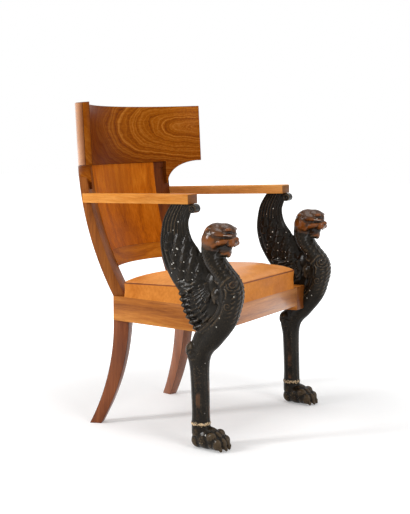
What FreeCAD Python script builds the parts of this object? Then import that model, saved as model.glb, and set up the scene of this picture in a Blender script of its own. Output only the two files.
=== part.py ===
import FreeCAD, Part
import math
import os

V = FreeCAD.Vector

# Desk armchair on carved winged-lion supports. Sizes in mm, +Z up, the sitter faces -Y.
# The origin is on the floor below the middle of the chair. The sitter's left is +X.

# Heights above the floor
HEIGHT = 920.0               # top corners of the crest tablet
RAIL_TOP = 374.0             # where the upholstery begins

# Seat frame, a trapezium that narrows to the back
SEAT_FRONT = -234.0          # front face of the front rail
SEAT_REAR = 151.0            # rear ends of the side rails
FRONT_HALF = 268.0           # half width over the side rails at the front
REAR_HALF = 202.0            # half width over the side rails at the rear
SIDE_RAIL_THICK = 55.0
SIDE_RAIL_HEIGHT = 70.0
FRONT_RAIL_THICK = 32.0
FRONT_RAIL_HEIGHT = 57.0
REAR_RAIL_THICK = 26.0
REAR_RAIL_HEIGHT = 52.0
RAIL_TENON_LENGTH = 22.0
RAIL_TENON_THICK = 12.0
RAIL_TENON_SHOULDER = 8.0    # tenon kept below the rail's top and above its bottom
CORNER_BLOCK_LEG = 46.0
CORNER_BLOCK_HEIGHT = 42.0

# Rear posts: a stile above and a sabre leg below each side rail, splayed out to the back
POST_SPLAY = 17.0            # degrees from straight back
STILE_WIDTH = 66.0
STILE_BASE_DEPTH = 35.0
STILE_TOP_DEPTH = 21.0
STILE_RAKE = 101.0           # how far back the stile's rear edge leans over its height
STILE_BELLY = 21.0           # bow of the stile's edges off their chord
LEG_TOP_DEPTH = 46.0
LEG_FOOT_DEPTH = 34.0
LEG_TOP_WIDTH = 43.0
LEG_FOOT_WIDTH = 27.0
LEG_SWEEP = 74.0             # how far back the foot reaches
LEG_BELLY = 20.0
POST_TENON_LENGTH = 30.0
POST_TENON_WIDTH = 20.0
POST_TENON_DEPTH = 24.0

# Back
BACK_RADIUS = 470.0          # hollow of the panel, in plan
BACK_SWEEP = 70.0            # degrees turned before the ends are trimmed
BACK_PROUD = 1.0             # panel and lower rail ahead of the stiles' front edges
BACK_PANEL_THICK = 14.0
BACK_HOUSING = 6.0           # how far the panel and the lower rail enter the stiles
LOWER_RAIL_BOTTOM = 452.0
LOWER_RAIL_HEIGHT = 46.0
LOWER_RAIL_THICK = 18.0
CREST_HEIGHT = 172.0
CREST_HALF = 303.0           # half length between the front corners
CREST_RADIUS = 430.0
CREST_THICK = 20.0
CREST_TILT = 3.0             # degrees back from upright
CREST_PROUD = 4.0            # crest's face ahead of the panel's, at the middle
BRACKET_DROP = 68.0          # quarter-round cut below each overhanging end
BRACKET_REACH = 93.5
BRACKET_TAIL = 5.5           # width left at the bracket's lower end
TONGUE_THICK = 8.0
TONGUE_HEIGHT = 36.0
TONGUE_WIDTH = 26.0

# Arms
ARM_THICK = 26.0
ARM_CLEARANCE = 3.2          # arm below the ends of the crest's brackets
ARM_FRONT = -159.0
ARM_DROP = 12.0              # rear end lower than the front
ARM_FRONT_WIDTH = 50.0
ARM_REAR_WIDTH = 19.0
ARM_REAR_STOP = 9.0          # arm ends this far ahead of the stile's rear edge
ARM_EASE = 3.0

# Winged lions
LION_PARTS = 651             # equal parts that the lion's height has on its drawing
LION_X = 289.0               # middle plane of each lion
LION_HEEL = -172.0           # back of the paw
WING_THICK = 22.0            # over the rearmost feather
WING_RELIEF = 1.6            # step from one feather to the next
FEATHER_BANDS = 5
COVERT_ROWS = 3
COVERTS_PER_ROW = 6
COVERT_LENGTH = 88.0
COVERT_WIDTH = 36.0
COVERT_TIP = 0.16            # where a short feather's blunt end begins, as a share of its length
COVERT_NOSE = 0.66           # width there, as a share
COVERT_REACH = 136.0         # from the shoulder to the longest tips
SHOULDER = (-66, 430)        # on the drawing, where the short feathers fan out from
COVERT_ROW_STEP = 30.0
COVERT_START = -58.0         # degrees, the lowest feather
COVERT_FAN = 120.0           # degrees over a row
VOLUTE_RADIUS = 12.5
VOLUTE_EYE_RADIUS = 5.0
WING_DOWEL_Y = 46.0          # from the heel, where the wing's top carries the arm
WING_ROOT_Y = -66.0          # from the heel, where the wing meets the carved block
WING_ROOT_Z = 436.0
TOE_COUNT = 4
TOE_PITCH = 16.0
TOE_REACH = 94.0             # tips of the middle toes ahead of the heel
TOE_SETBACK = 3.5            # how far a toe one pitch off the middle stands back
TOE_LENGTH = 48.0
TOE_HEIGHT = 40.0
TOE_WIDTH = 14.0
BROW_SPREAD = 15.0           # middle of a brow off the middle plane
BROW_LENGTH = 13.0           # half sizes of a brow and an ear
BROW_DEPTH = 12.0
BROW_HEIGHT = 8.0
EAR_SPREAD = 28.0
EAR_LENGTH = 14.0
EAR_THICK = 8.0
EAR_HEIGHT = 9.0
KNOB_END = 0.55              # ends of a brow or an ear, as a share of its middle
CARVED_SIDES = 10            # flats round the carved forms
KNOB_SIDES = 6

# Seat upholstery
BORDER_HEIGHT_FRONT = 54.0
BORDER_HEIGHT_REAR = 40.0
SEAT_CROWN = 24.0
CROWN_RUN = 86.0             # from the seam to the level middle of the crown
CROWN_FULLNESS = 2.5         # 1 for a straight slope, more for a rounder edge
CROWN_STEPS = 4
BORDER_HOLLOW = 1.5          # sides drawn in between seam and rail
BORDER_OVERHANG = 3.0        # leather ahead of the front rail
LEATHER_THICK = 2.4
LEATHER_GAP = 0.5
CUSHION_REAR = 113.0         # back edge of the leather, ahead of the stiles
CORNER_NOTCH_X = 190.0       # half width of the front border, between the notches
CORNER_NOTCH_REAR = -154.0
STRAP_WIDTH = 50.0
STRAP_THICK = 2.0
STRAP_BEARING = 22.0         # strap end lying on the rail
LENGTH_STRAPS = 4
CROSS_STRAPS = 4
HESSIAN_THICK = 1.0
HESSIAN_MARGIN = 12.0

# Fastenings
DOWEL_RADIUS = 3.5
DOWEL_LENGTH = 28.0
SCREW_RADIUS = 2.5
SCREW_HEAD_RADIUS = 4.5
SCREW_HEAD_THICK = 3.0
LION_SCREW_LENGTH = 90.0
SCREW_ROOM = 0.3             # free round the screw where it passes a feather
LION_SCREW_SETBACK = 24.0    # ahead of the heel

# Lines that follow from the sizes above
SIDE_RAIL_BOTTOM = RAIL_TOP - SIDE_RAIL_HEIGHT
FRONT_RAIL_BOTTOM = RAIL_TOP - FRONT_RAIL_HEIGHT
CREST_BOTTOM = HEIGHT - CREST_HEIGHT * math.cos(math.radians(CREST_TILT))
ARM_UNDER = CREST_BOTTOM - BRACKET_DROP - ARM_CLEARANCE - ARM_THICK
CARVED = ARM_UNDER / LION_PARTS                         # one part of the lions' drawing
STILE_HEIGHT = CREST_BOTTOM - RAIL_TOP
RAIL_SLOPE = (FRONT_HALF - REAR_HALF) / (SEAT_REAR - SEAT_FRONT)
SPLAY = math.radians(POST_SPLAY)
POST_BACK = V(math.sin(SPLAY), math.cos(SPLAY), 0)      # rearwards, in the left post's plane
POST_OUT = V(math.cos(SPLAY), -math.sin(SPLAY), 0)      # square to that plane, outwards
POST_ORIGIN = V(REAR_HALF, SEAT_REAR, 0)                # rear outer edge of the left post
FAR = 1000.0                                            # reach of trimming blocks


def mirrored(shape):
    """The same shape on the sitter's right."""
    return shape.mirror(V(0, 0, 0), V(1, 0, 0))


def flat_face(points):
    """A face inside a flat outline of straight edges."""
    return Part.Face(Part.makePolygon(list(points) + [points[0]]))


def prism(points, along):
    """A solid pushed along a vector from a flat outline of straight edges."""
    return flat_face(points).extrude(along)


def arc_edge(start, middle, end):
    return Part.Arc(start, middle, end).toShape()


def line_edge(start, end):
    return Part.LineSegment(start, end).toShape()


def cylinder(radius, length, start, along):
    return Part.makeCylinder(radius, length, start, along)


def ring(centre, across, along, sides=CARVED_SIDES):
    """Corners of a many-sided ring round a centre, from its two half axes."""
    corners = []
    for step in range(sides):
        angle = 2.0 * math.pi * step / sides
        corners.append(centre + across * math.cos(angle) + along * math.sin(angle))
    return corners


def flat_sided(rings):
    """A solid of flat facets over a row of rings, as a carver blocks out a form."""
    faces = [flat_face(rings[0]), flat_face(rings[-1])]
    for lower, upper in zip(rings, rings[1:]):
        for corner in range(len(lower)):
            faces.append(flat_face([lower[corner - 1], lower[corner], upper[corner]]))
            faces.append(flat_face([lower[corner - 1], upper[corner], upper[corner - 1]]))
    solid = Part.Solid(Part.Shell(faces))
    if solid.Volume < 0:
        solid.reverse()
    return solid


def eased(rows):
    """The same rows with one more between each two, on a smooth line through all of them."""
    result = []
    for index in range(len(rows) - 1):
        before = rows[max(index - 1, 0)]
        after = rows[min(index + 2, len(rows) - 1)]
        middle = [(9.0 * (b + c) - a - d) / 16.0
                  for a, b, c, d in zip(before, rows[index], rows[index + 1], after)]
        result += [rows[index], middle]
    return result + [rows[-1]]


def knob(centre, along, across, up):
    """A small six-sided swelling that tapers to both ends, from its three half axes."""
    rings = []
    for place, size in ((-1.0, KNOB_END), (-KNOB_END, 1.0), (KNOB_END, 1.0), (1.0, KNOB_END)):
        rings.append(ring(centre + along * place, across * size, up * size, KNOB_SIDES))
    return flat_sided(rings)


# Seat frame

def rail_outer_x(y):
    """Outer face of the left side rail at a given depth."""
    return FRONT_HALF - RAIL_SLOPE * (y - SEAT_FRONT)


def rail_inner_x(y):
    return rail_outer_x(y) - SIDE_RAIL_THICK


def side_rail_blank():
    ends = [V(rail_outer_x(SEAT_FRONT), SEAT_FRONT, SIDE_RAIL_BOTTOM),
            V(rail_outer_x(SEAT_REAR), SEAT_REAR, SIDE_RAIL_BOTTOM),
            V(rail_inner_x(SEAT_REAR), SEAT_REAR, SIDE_RAIL_BOTTOM),
            V(rail_inner_x(SEAT_FRONT), SEAT_FRONT, SIDE_RAIL_BOTTOM)]
    return prism(ends, V(0, 0, SIDE_RAIL_HEIGHT))


def cross_rail(front, thick, bottom, height):
    """A rail between the side rails, with a tenon into each."""
    rear = front + thick
    body = prism([V(-rail_inner_x(front), front, bottom), V(rail_inner_x(front), front, bottom),
                  V(rail_inner_x(rear), rear, bottom), V(-rail_inner_x(rear), rear, bottom)],
                 V(0, 0, height))
    middle = front + thick / 2.0
    reach = rail_inner_x(middle) + RAIL_TENON_LENGTH
    tenon = Part.makeBox(2.0 * reach, RAIL_TENON_THICK, height - 2.0 * RAIL_TENON_SHOULDER,
                         V(-reach, middle - RAIL_TENON_THICK / 2.0, bottom + RAIL_TENON_SHOULDER))
    return body.fuse(tenon).removeSplitter()


def front_rail():
    return cross_rail(SEAT_FRONT, FRONT_RAIL_THICK, FRONT_RAIL_BOTTOM, FRONT_RAIL_HEIGHT)


def rear_rail():
    front = CUSHION_REAR - REAR_RAIL_THICK
    return cross_rail(front, REAR_RAIL_THICK, RAIL_TOP - REAR_RAIL_HEIGHT, REAR_RAIL_HEIGHT)


def corner_block(y, toward):
    """A glued triangular block in the angle of a cross rail and the left side rail."""
    top = RAIL_TOP - RAIL_TENON_SHOULDER
    bottom = top - CORNER_BLOCK_HEIGHT
    other = y + toward * CORNER_BLOCK_LEG
    outline = [V(rail_inner_x(y), y, bottom),
               V(rail_inner_x(y) - CORNER_BLOCK_LEG, y, bottom),
               V(rail_inner_x(other), other, bottom)]
    return prism(outline, V(0, 0, CORNER_BLOCK_HEIGHT))


def screw(seat, along, length):
    """A screw whose head stands on the seat point and whose shank runs on from it."""
    shank = cylinder(SCREW_RADIUS, length, seat, along)
    head = cylinder(SCREW_HEAD_RADIUS, SCREW_HEAD_THICK, seat - along * SCREW_HEAD_THICK, along)
    return shank.fuse(head).removeSplitter()


# Rear posts

def post_point(back, across, z):
    """A point of the left post: back from its rear outer edge, and inwards across its width."""
    return POST_ORIGIN + POST_BACK * back - POST_OUT * across + V(0, 0, z)


def post_slab(rear_points, front_points, width):
    """A post cut from a plank: two bowed edges, pushed through its width."""
    rear = [post_point(back, 0, z) for back, z in rear_points]
    front = [post_point(back, 0, z) for back, z in front_points]
    edges = [arc_edge(*rear), line_edge(rear[2], front[2]),
             arc_edge(front[2], front[1], front[0]), line_edge(front[0], rear[0])]
    return Part.Face(Part.Wire(edges)).extrude(POST_OUT * -width)


def stile_front_back(z):
    """How far back the stile's front edge lies at a height, along its bowed edge."""
    share = (z - RAIL_TOP) / STILE_HEIGHT
    chord = -STILE_BASE_DEPTH + (STILE_RAKE + STILE_BASE_DEPTH - STILE_TOP_DEPTH) * share
    return chord + 4.0 * STILE_BELLY * share * (1.0 - share)


def stile_rear_back(z):
    share = (z - RAIL_TOP) / STILE_HEIGHT
    return STILE_RAKE * share + 4.0 * STILE_BELLY * share * (1.0 - share)


def stile_blank():
    over = CREST_BOTTOM + TONGUE_HEIGHT / 2.0
    heights = [RAIL_TOP, (RAIL_TOP + over) / 2.0, over]
    rear = [(stile_rear_back(z), z) for z in heights]
    front = [(stile_front_back(z), z) for z in heights]
    return post_slab(rear, front, STILE_WIDTH)


def stile_tenon():
    corner = post_point(-STILE_BASE_DEPTH / 2.0 - POST_TENON_WIDTH / 2.0,
                        SIDE_RAIL_THICK / 2.0 + POST_TENON_DEPTH / 2.0, RAIL_TOP - POST_TENON_LENGTH)
    outline = [corner, corner + POST_BACK * POST_TENON_WIDTH,
               corner + POST_BACK * POST_TENON_WIDTH + POST_OUT * POST_TENON_DEPTH,
               corner + POST_OUT * POST_TENON_DEPTH]
    return prism(outline, V(0, 0, POST_TENON_LENGTH))


def rear_leg():
    """A sabre leg with its tenon, tapered on the inner face towards the foot."""
    heights = [SIDE_RAIL_BOTTOM, SIDE_RAIL_BOTTOM / 2.0, 0.0]
    rear = []
    front = []
    for z in heights:
        share = 1.0 - z / SIDE_RAIL_BOTTOM
        sweep = LEG_SWEEP * share - 4.0 * LEG_BELLY * share * (1.0 - share)
        depth = LEG_TOP_DEPTH + (LEG_FOOT_DEPTH - LEG_TOP_DEPTH) * share
        rear.append((sweep, z))
        front.append((sweep - depth, z))
    slab = post_slab(rear, front, LEG_TOP_WIDTH)
    wedge = prism([post_point(-FAR, LEG_TOP_WIDTH, SIDE_RAIL_BOTTOM),
                   post_point(-FAR, LEG_FOOT_WIDTH, 0.0),
                   post_point(-FAR, LEG_TOP_WIDTH + FAR, 0.0)], POST_BACK * (2.0 * FAR))
    corner = post_point(-LEG_TOP_DEPTH / 2.0 - POST_TENON_WIDTH / 2.0,
                        LEG_TOP_WIDTH / 2.0 + POST_TENON_DEPTH / 2.0, SIDE_RAIL_BOTTOM)
    outline = [corner, corner + POST_BACK * POST_TENON_WIDTH,
               corner + POST_BACK * POST_TENON_WIDTH + POST_OUT * POST_TENON_DEPTH,
               corner + POST_OUT * POST_TENON_DEPTH]
    tenon = prism(outline, V(0, 0, POST_TENON_LENGTH))
    return slab.cut(wedge).fuse(tenon).removeSplitter()


# Back

def strip_wire(radius, thick, middle_y, z, half):
    """A curved strip seen from above: hollow front, round back, square ends."""
    points = []
    for r in (radius, radius + thick):
        rise = math.sqrt(r * r - half * half)
        centre = middle_y - radius
        points.append((V(-half, centre + rise, z), V(0, centre + r, z), V(half, centre + rise, z)))
    front, back = points
    return Part.Wire([arc_edge(*front), line_edge(front[2], back[2]),
                      arc_edge(back[2], back[1], back[0]), line_edge(back[0], front[0])])


def back_axis_y():
    """The upright axis that the hollow back is turned about."""
    inner = stile_inner_edge(CREST_BOTTOM)
    return inner.y - math.sqrt(BACK_RADIUS ** 2 - inner.x ** 2)


def stile_inner_edge(z):
    """Front inner edge of the left stile at a height."""
    return post_point(stile_front_back(z), STILE_WIDTH, z)


def back_radius(z):
    """Radius of the hollow back at a height, a little proud of the stiles' front edges."""
    edge = stile_inner_edge(z)
    return math.hypot(edge.x, edge.y - back_axis_y()) - BACK_PROUD


def curved_board(bottom, top, thick):
    """A raked, hollow board let into both stiles."""
    heights = [LOWER_RAIL_BOTTOM, (LOWER_RAIL_BOTTOM + CREST_BOTTOM) / 2.0, CREST_BOTTOM]
    axis = back_axis_y()
    front = [V(0, axis + back_radius(z), z) for z in heights]
    rear = [point + V(0, thick, 0) for point in front]
    profile = Part.Face(Part.Wire([arc_edge(*front), line_edge(front[2], rear[2]),
                                   arc_edge(rear[2], rear[1], rear[0]), line_edge(rear[0], front[0])]))
    profile.rotate(V(0, axis, 0), V(0, 0, 1), -BACK_SWEEP / 2.0)
    ring_board = profile.revolve(V(0, axis, 0), V(0, 0, 1), BACK_SWEEP)
    slab = Part.makeBox(2.0 * FAR, 2.0 * FAR, top - bottom, V(-FAR, -FAR, bottom))
    depth = STILE_WIDTH - BACK_HOUSING
    trim = prism([post_point(-FAR, depth, 0), post_point(FAR, depth, 0),
                  post_point(FAR, depth - FAR, 0), post_point(-FAR, depth - FAR, 0)], V(0, 0, FAR))
    return ring_board.common(slab).cut([trim, mirrored(trim)])


def crest_place(shape):
    """Puts a shape drawn upright, with its ends at y = 0, on the tilted crest line."""
    end_y = back_axis_y() + BACK_RADIUS - CREST_PROUD - crest_sagitta()
    moved = shape.copy()
    moved.rotate(V(0, 0, 0), V(1, 0, 0), -CREST_TILT)
    moved.translate(V(0, end_y, CREST_BOTTOM))
    return moved


def crest_sagitta():
    return CREST_RADIUS - math.sqrt(CREST_RADIUS ** 2 - CREST_HALF ** 2)


def crest_strip(radius, thick, bottom, height, half):
    wire = strip_wire(radius, thick, crest_sagitta() + radius - CREST_RADIUS, bottom, half)
    return Part.Face(wire).extrude(V(0, 0, height))


def bracket_root():
    """A bracket's upright inner edge, against the stile."""
    return CREST_HALF - BRACKET_REACH - BRACKET_TAIL


def crest_board():
    """The concave tablet with a quarter-round bracket under each end, before its mortises."""
    board = crest_strip(CREST_RADIUS, CREST_THICK, -BRACKET_DROP, CREST_HEIGHT + BRACKET_DROP, CREST_HALF)
    root = bracket_root()
    between = prism([V(-root, -FAR, 0), V(root, -FAR, 0), V(root, -FAR, -BRACKET_DROP),
                     V(-root, -FAR, -BRACKET_DROP)], V(0, 2.0 * FAR, 0))
    oval = Part.Ellipse(V(0, 0, 0), max(BRACKET_REACH, BRACKET_DROP), min(BRACKET_REACH, BRACKET_DROP))
    face = Part.Face(Part.Wire([oval.toShape()]))
    if BRACKET_DROP > BRACKET_REACH:
        face.rotate(V(0, 0, 0), V(0, 0, 1), 90)
    cove = face.extrude(V(0, 0, 2.0 * FAR))
    cove.rotate(V(0, 0, 0), V(1, 0, 0), -90)
    cove.translate(V(CREST_HALF, -FAR, -BRACKET_DROP))
    return crest_place(board.cut([between, cove, mirrored(cove)]))


def crest_tongue():
    """The tongue on top of the left stile that enters the crest's lower edge."""
    inset = (CREST_THICK - TONGUE_THICK) * 0.6
    strip = crest_strip(CREST_RADIUS + inset, TONGUE_THICK, -TONGUE_HEIGHT / 2.0,
                        1.5 * TONGUE_HEIGHT, CREST_HALF)
    root = bracket_root()
    window = Part.makeBox(TONGUE_WIDTH, 2.0 * FAR, 2.0 * FAR, V(root - TONGUE_WIDTH, -FAR, -FAR))
    return crest_place(strip.common(window))


def over_crest_line():
    """Everything above the crest's tilted lower edge."""
    return crest_place(Part.makeBox(2.0 * FAR, 2.0 * FAR, FAR, V(-FAR, -FAR, 0)))


# Arms

def arm_place(shape):
    """Lets a level shape fall to the rear about the arm's lower front edge."""
    run = post_point(stile_rear_back(ARM_UNDER), 0, 0).y - ARM_FRONT
    moved = shape.copy()
    moved.rotate(V(0, ARM_FRONT, ARM_UNDER), V(1, 0, 0), -math.degrees(math.atan2(ARM_DROP, run)))
    return moved


def arm_blank():
    """A straight tapered arm, square in front and lapped along the stile's outer face."""
    level = ARM_UNDER - ARM_DROP + ARM_THICK / 2.0
    rear = post_point(stile_rear_back(level) - ARM_REAR_STOP, 0, ARM_UNDER)
    meet = post_point(stile_front_back(level), 0, ARM_UNDER)
    half = ARM_FRONT_WIDTH / 2.0
    bury = POST_OUT * ARM_EASE
    outline = [V(LION_X + half, ARM_FRONT, ARM_UNDER), rear + POST_OUT * ARM_REAR_WIDTH,
               rear - bury, meet - bury, V(LION_X - half, ARM_FRONT, ARM_UNDER)]
    bar = prism(outline, V(0, 0, ARM_THICK))
    top = ARM_UNDER + ARM_THICK
    upper = [e for e in bar.Edges if e.BoundBox.ZMin > top - 0.01 and e.Length > ARM_THICK]
    return arm_place(bar.makeFillet(ARM_EASE, upper))


def over_arm_line():
    """Everything above the arm's sloping underside."""
    return arm_place(Part.makeBox(2.0 * FAR, 2.0 * FAR, FAR, V(-FAR, -FAR, ARM_UNDER)))


# Lions

def lion_point(y, z):
    """A point of the left lion's middle plane, on its drawing: y from the heel, z from the floor."""
    return V(LION_X, LION_HEEL + y * CARVED, z * CARVED)


def level_form(rows):
    """A carved form over level rings: height, middle, half depth, half width."""
    return flat_sided([ring(lion_point(y, z), V(0, depth * CARVED, 0), V(width * CARVED, 0, 0))
                       for z, y, depth, width in eased(rows)])


def upright_form(rows):
    """A carved form over upright rings: y from the heel, middle height, half height, half width."""
    return flat_sided([ring(lion_point(y, z), V(0, 0, height * CARVED), V(width * CARVED, 0, 0))
                       for y, z, height, width in eased(rows)])


def lion_torso():
    """Leg, hock, flank, chest and neck in one sweep of level ovals."""
    return level_form([(39, -12, 25, 25), (98, -12, 24, 24), (215, -7, 26, 27), (244, -7, 31, 29),
                       (277, -24, 41, 30), (312, -46, 50, 30), (341, -70, 46, 31), (372, -93, 33, 35),
                       (417, -101, 35, 38), (456, -93, 34, 38), (492, -63, 33, 37), (521, -48, 29, 35),
                       (553, -46, 27, 33)])


def lion_head():
    """Skull and open-mouthed muzzle, lower jaw, brows and laid-back ears."""
    skull = upright_form([(-19, 556, 15, 14), (-30, 564, 28, 27), (-52, 570, 35, 34), (-84, 571, 34, 34),
                          (-108, 568, 22, 25), (-122, 562, 10, 13)])
    jaw = upright_form([(-50, 529, 16, 30), (-80, 525, 9, 23), (-101, 529, 5, 12)])
    parts = [skull, jaw]
    for side in (-1, 1):
        brow = lion_point(-91, 591) + V(BROW_SPREAD * side, 0, 0)
        parts.append(knob(brow, V(BROW_LENGTH, 0, 0), V(0, BROW_DEPTH, 0), V(0, 0, BROW_HEIGHT)))
        ear = lion_point(-52, 580) + V(EAR_SPREAD * side, 0, 0)
        parts.append(knob(ear, V(0, EAR_LENGTH, 0), V(EAR_THICK, 0, 0), V(0, 0, EAR_HEIGHT)))
    return parts


def lion_paw():
    """A broad paw with its toes, flat underneath."""
    parts = [upright_form([(10, 18.5, 13, 13), (1, 26.5, 27, 24), (-30, 29.5, 31, 30), (-64, 25.5, 27, 30),
                           (-80, 20.5, 19, 26)])]
    for index in range(TOE_COUNT):
        offset = (index - (TOE_COUNT - 1) / 2.0) * TOE_PITCH
        parts.append(toe(offset, TOE_SETBACK * (offset / TOE_PITCH) ** 2))
    return parts


def toe(offset, setback):
    """One rounded toe, set to the side of the paw's middle and back from its longest toes."""
    tip = V(LION_X + offset - TOE_WIDTH / 2.0, LION_HEEL - TOE_REACH + setback, 0)
    back = V(0, TOE_LENGTH, 0)
    turn = V(0, TOE_HEIGHT / 3.0, 0)
    up = V(0, 0, TOE_HEIGHT)
    edges = [line_edge(tip + back, tip + turn), arc_edge(tip + turn, tip + up / 2.0, tip + turn + up),
             line_edge(tip + turn + up, tip + back + up), line_edge(tip + back + up, tip + back)]
    return Part.Face(Part.Wire(edges)).extrude(V(TOE_WIDTH, 0, 0))


def lion():
    """The carved block: leg, chest, head and paw, sawn flat where it stands."""
    body = lion_torso().fuse(lion_head() + lion_paw())
    ground = Part.makeBox(2.0 * FAR, 2.0 * FAR, FAR, V(-FAR, -FAR, -FAR))
    return body.cut(ground)


def wing_line(share):
    """A feather line of the wing, from its curled front edge at 0 to its rear edge at 1."""
    front = [(13, 657), (33, 615), (34, 596), (24, 562), (0, 531), (-25, 485)]
    rear = [(72, 657), (91, 622), (99, 596), (104, 540), (90, 477), (58, 417)]
    return [lion_point(near[0] + (far[0] - near[0]) * share, near[1] + (far[1] - near[1]) * share)
            for near, far in zip(eased(front), eased(rear))]


def thickened(face, thick):
    """A flat shape in the lion's middle plane, pushed out to both sides of it."""
    moved = face.copy()
    moved.translate(V(-thick / 2.0, 0, 0))
    return moved.extrude(V(thick, 0, 0))


def wing_primaries():
    """The long feathers, side by side from the shoulder up to the arm, stepped like laths."""
    blades = []
    for band in range(FEATHER_BANDS):
        first = wing_line(band / FEATHER_BANDS)
        second = wing_line((band + 1) / FEATHER_BANDS)
        thick = WING_THICK + WING_RELIEF * (FEATHER_BANDS - 1 - band)
        blades.append(thickened(flat_face(first + second[::-1]), thick))
    return blades


def leaf(reach, angle):
    """A short feather in the lion's middle plane, pointing away from the shoulder."""
    shoulder = lion_point(*SHOULDER)
    out = V(0, math.cos(angle), math.sin(angle))
    side = V(0, -math.sin(angle), math.cos(angle)) * (COVERT_WIDTH / 2.0)
    tip = shoulder + out * reach
    nose = tip - out * (COVERT_LENGTH * COVERT_TIP)
    waist = tip - out * (COVERT_LENGTH / 2.0)
    corners = [tip, nose + side * COVERT_NOSE, waist + side, tip - out * COVERT_LENGTH, waist - side,
               nose - side * COVERT_NOSE]
    return flat_face(corners)


def wing_coverts():
    """Rows of short feathers that fan back from the shoulder and lie over one another."""
    scales = []
    for row in range(COVERT_ROWS):
        thick = WING_THICK + WING_RELIEF * (FEATHER_BANDS + 2 * row)
        for index in range(COVERTS_PER_ROW):
            turn = COVERT_START + COVERT_FAN * (index + 0.5 * (row % 2)) / COVERTS_PER_ROW
            blade = leaf(COVERT_REACH - COVERT_ROW_STEP * row, math.radians(turn))
            scales.append(thickened(blade, thick))
    return scales


def wing_volute():
    """The scroll at the wing's tip, below the front of the arm, with its eye."""
    centre = V(LION_X, LION_HEEL + VOLUTE_RADIUS, ARM_UNDER - VOLUTE_RADIUS)
    width = WING_THICK + WING_RELIEF * FEATHER_BANDS
    drum = cylinder(VOLUTE_RADIUS, width, centre - V(width / 2.0, 0, 0), V(1, 0, 0))
    eye_width = width + 2.0 * WING_RELIEF
    eye = cylinder(VOLUTE_EYE_RADIUS, eye_width, centre - V(eye_width / 2.0, 0, 0), V(1, 0, 0))
    return [drum, eye]


def wing(body):
    """The feathered slab behind the lion's shoulder, fitted to the carved block and the arm."""
    blades = wing_primaries()
    shape = blades[0].fuse(blades[1:] + wing_coverts() + wing_volute())
    fitted = shape.cut([body, side_rail_blank(), over_arm_line(), lion_screw_room()])
    return max(fitted.Solids, key=lambda solid: solid.Volume)


# Upholstery

def border_top(y):
    """Height of the seam above the rails, lower at the back."""
    share = (y - SEAT_FRONT) / (CUSHION_REAR - SEAT_FRONT)
    return BORDER_HEIGHT_FRONT + (BORDER_HEIGHT_REAR - BORDER_HEIGHT_FRONT) * share


def seat_ring(inset, lift, follow):
    """Corners of the seat's outline with its two front notches, drawn in by an inset.

    follow is 0 for a level ring on the rails and 1 for a ring that runs with the seam.
    """
    front = SEAT_FRONT - BORDER_OVERHANG + inset
    notch_x = CORNER_NOTCH_X - inset
    notch_y = CORNER_NOTCH_REAR + inset
    rear = CUSHION_REAR - inset
    left = [(notch_x, front), (notch_x, notch_y), (rail_outer_x(notch_y) - inset, notch_y),
            (rail_outer_x(rear) - inset, rear)]
    right = [(-x, y) for x, y in reversed(left)]
    return [V(x, y, RAIL_TOP + lift + follow * border_top(y)) for x, y in left + right]


def border_rings(shrink):
    """The boxed side of the seat, drawn in between the rails and the seam."""
    waist = seat_ring(shrink + BORDER_HOLLOW, 0, 0.5)
    return [seat_ring(shrink, 0, 0), waist, seat_ring(shrink, 0, 1.0)]


def crown_rings(shrink, drop):
    """The domed top of the seat over the seam."""
    rings = []
    for step in range(CROWN_STEPS + 1):
        run = step / CROWN_STEPS
        rise = SEAT_CROWN * (1.0 - (1.0 - run) ** CROWN_FULLNESS)
        rings.append(seat_ring(shrink + CROWN_RUN * run, rise - drop, 1.0))
    return rings


def leather_border():
    """The strip of leather between rails and seam, hollowed to its thickness."""
    inset = LEATHER_THICK + BORDER_HOLLOW
    inside = [seat_ring(inset, 0, 0), seat_ring(inset, 0, 1.0)]
    return flat_sided(border_rings(0.0)).cut(flat_sided(inside))


def leather_top():
    """The crowned sheet of leather over the stuffing."""
    inside = crown_rings(LEATHER_THICK + BORDER_HOLLOW, LEATHER_THICK)
    return flat_sided(crown_rings(0.0, 0.0)).cut(flat_sided(inside))


def stuffing():
    """The hair pad between hessian and leather."""
    inside = LEATHER_THICK + BORDER_HOLLOW + LEATHER_GAP
    drop = LEATHER_THICK + LEATHER_GAP
    level = 2.0 * STRAP_THICK + HESSIAN_THICK
    side = flat_sided([seat_ring(inside, level, 0), seat_ring(inside, -drop, 1.0)])
    return side.fuse(flat_sided(crown_rings(inside, drop))).removeSplitter()


def hessian():
    """The canvas over the webbing that carries the stuffing."""
    return prism(seat_ring(HESSIAN_MARGIN, 2.0 * STRAP_THICK, 0), V(0, 0, HESSIAN_THICK))


def length_strap_xs():
    span = 2.0 * (rail_inner_x(CUSHION_REAR) - STRAP_WIDTH)
    return [-span / 2.0 + span * k / (LENGTH_STRAPS - 1) for k in range(LENGTH_STRAPS)]


def cross_strap_ys():
    first = CORNER_NOTCH_REAR + STRAP_WIDTH
    last = CUSHION_REAR - REAR_RAIL_THICK - STRAP_WIDTH
    return [first + (last - first) * k / (CROSS_STRAPS - 1) for k in range(CROSS_STRAPS)]


def length_straps():
    """Webbing from the front rail to the rear rail."""
    front = SEAT_FRONT + FRONT_RAIL_THICK - STRAP_BEARING
    rear = CUSHION_REAR - REAR_RAIL_THICK + STRAP_BEARING
    return [Part.makeBox(STRAP_WIDTH, rear - front, STRAP_THICK, V(x - STRAP_WIDTH / 2.0, front, RAIL_TOP))
            for x in length_strap_xs()]


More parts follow.
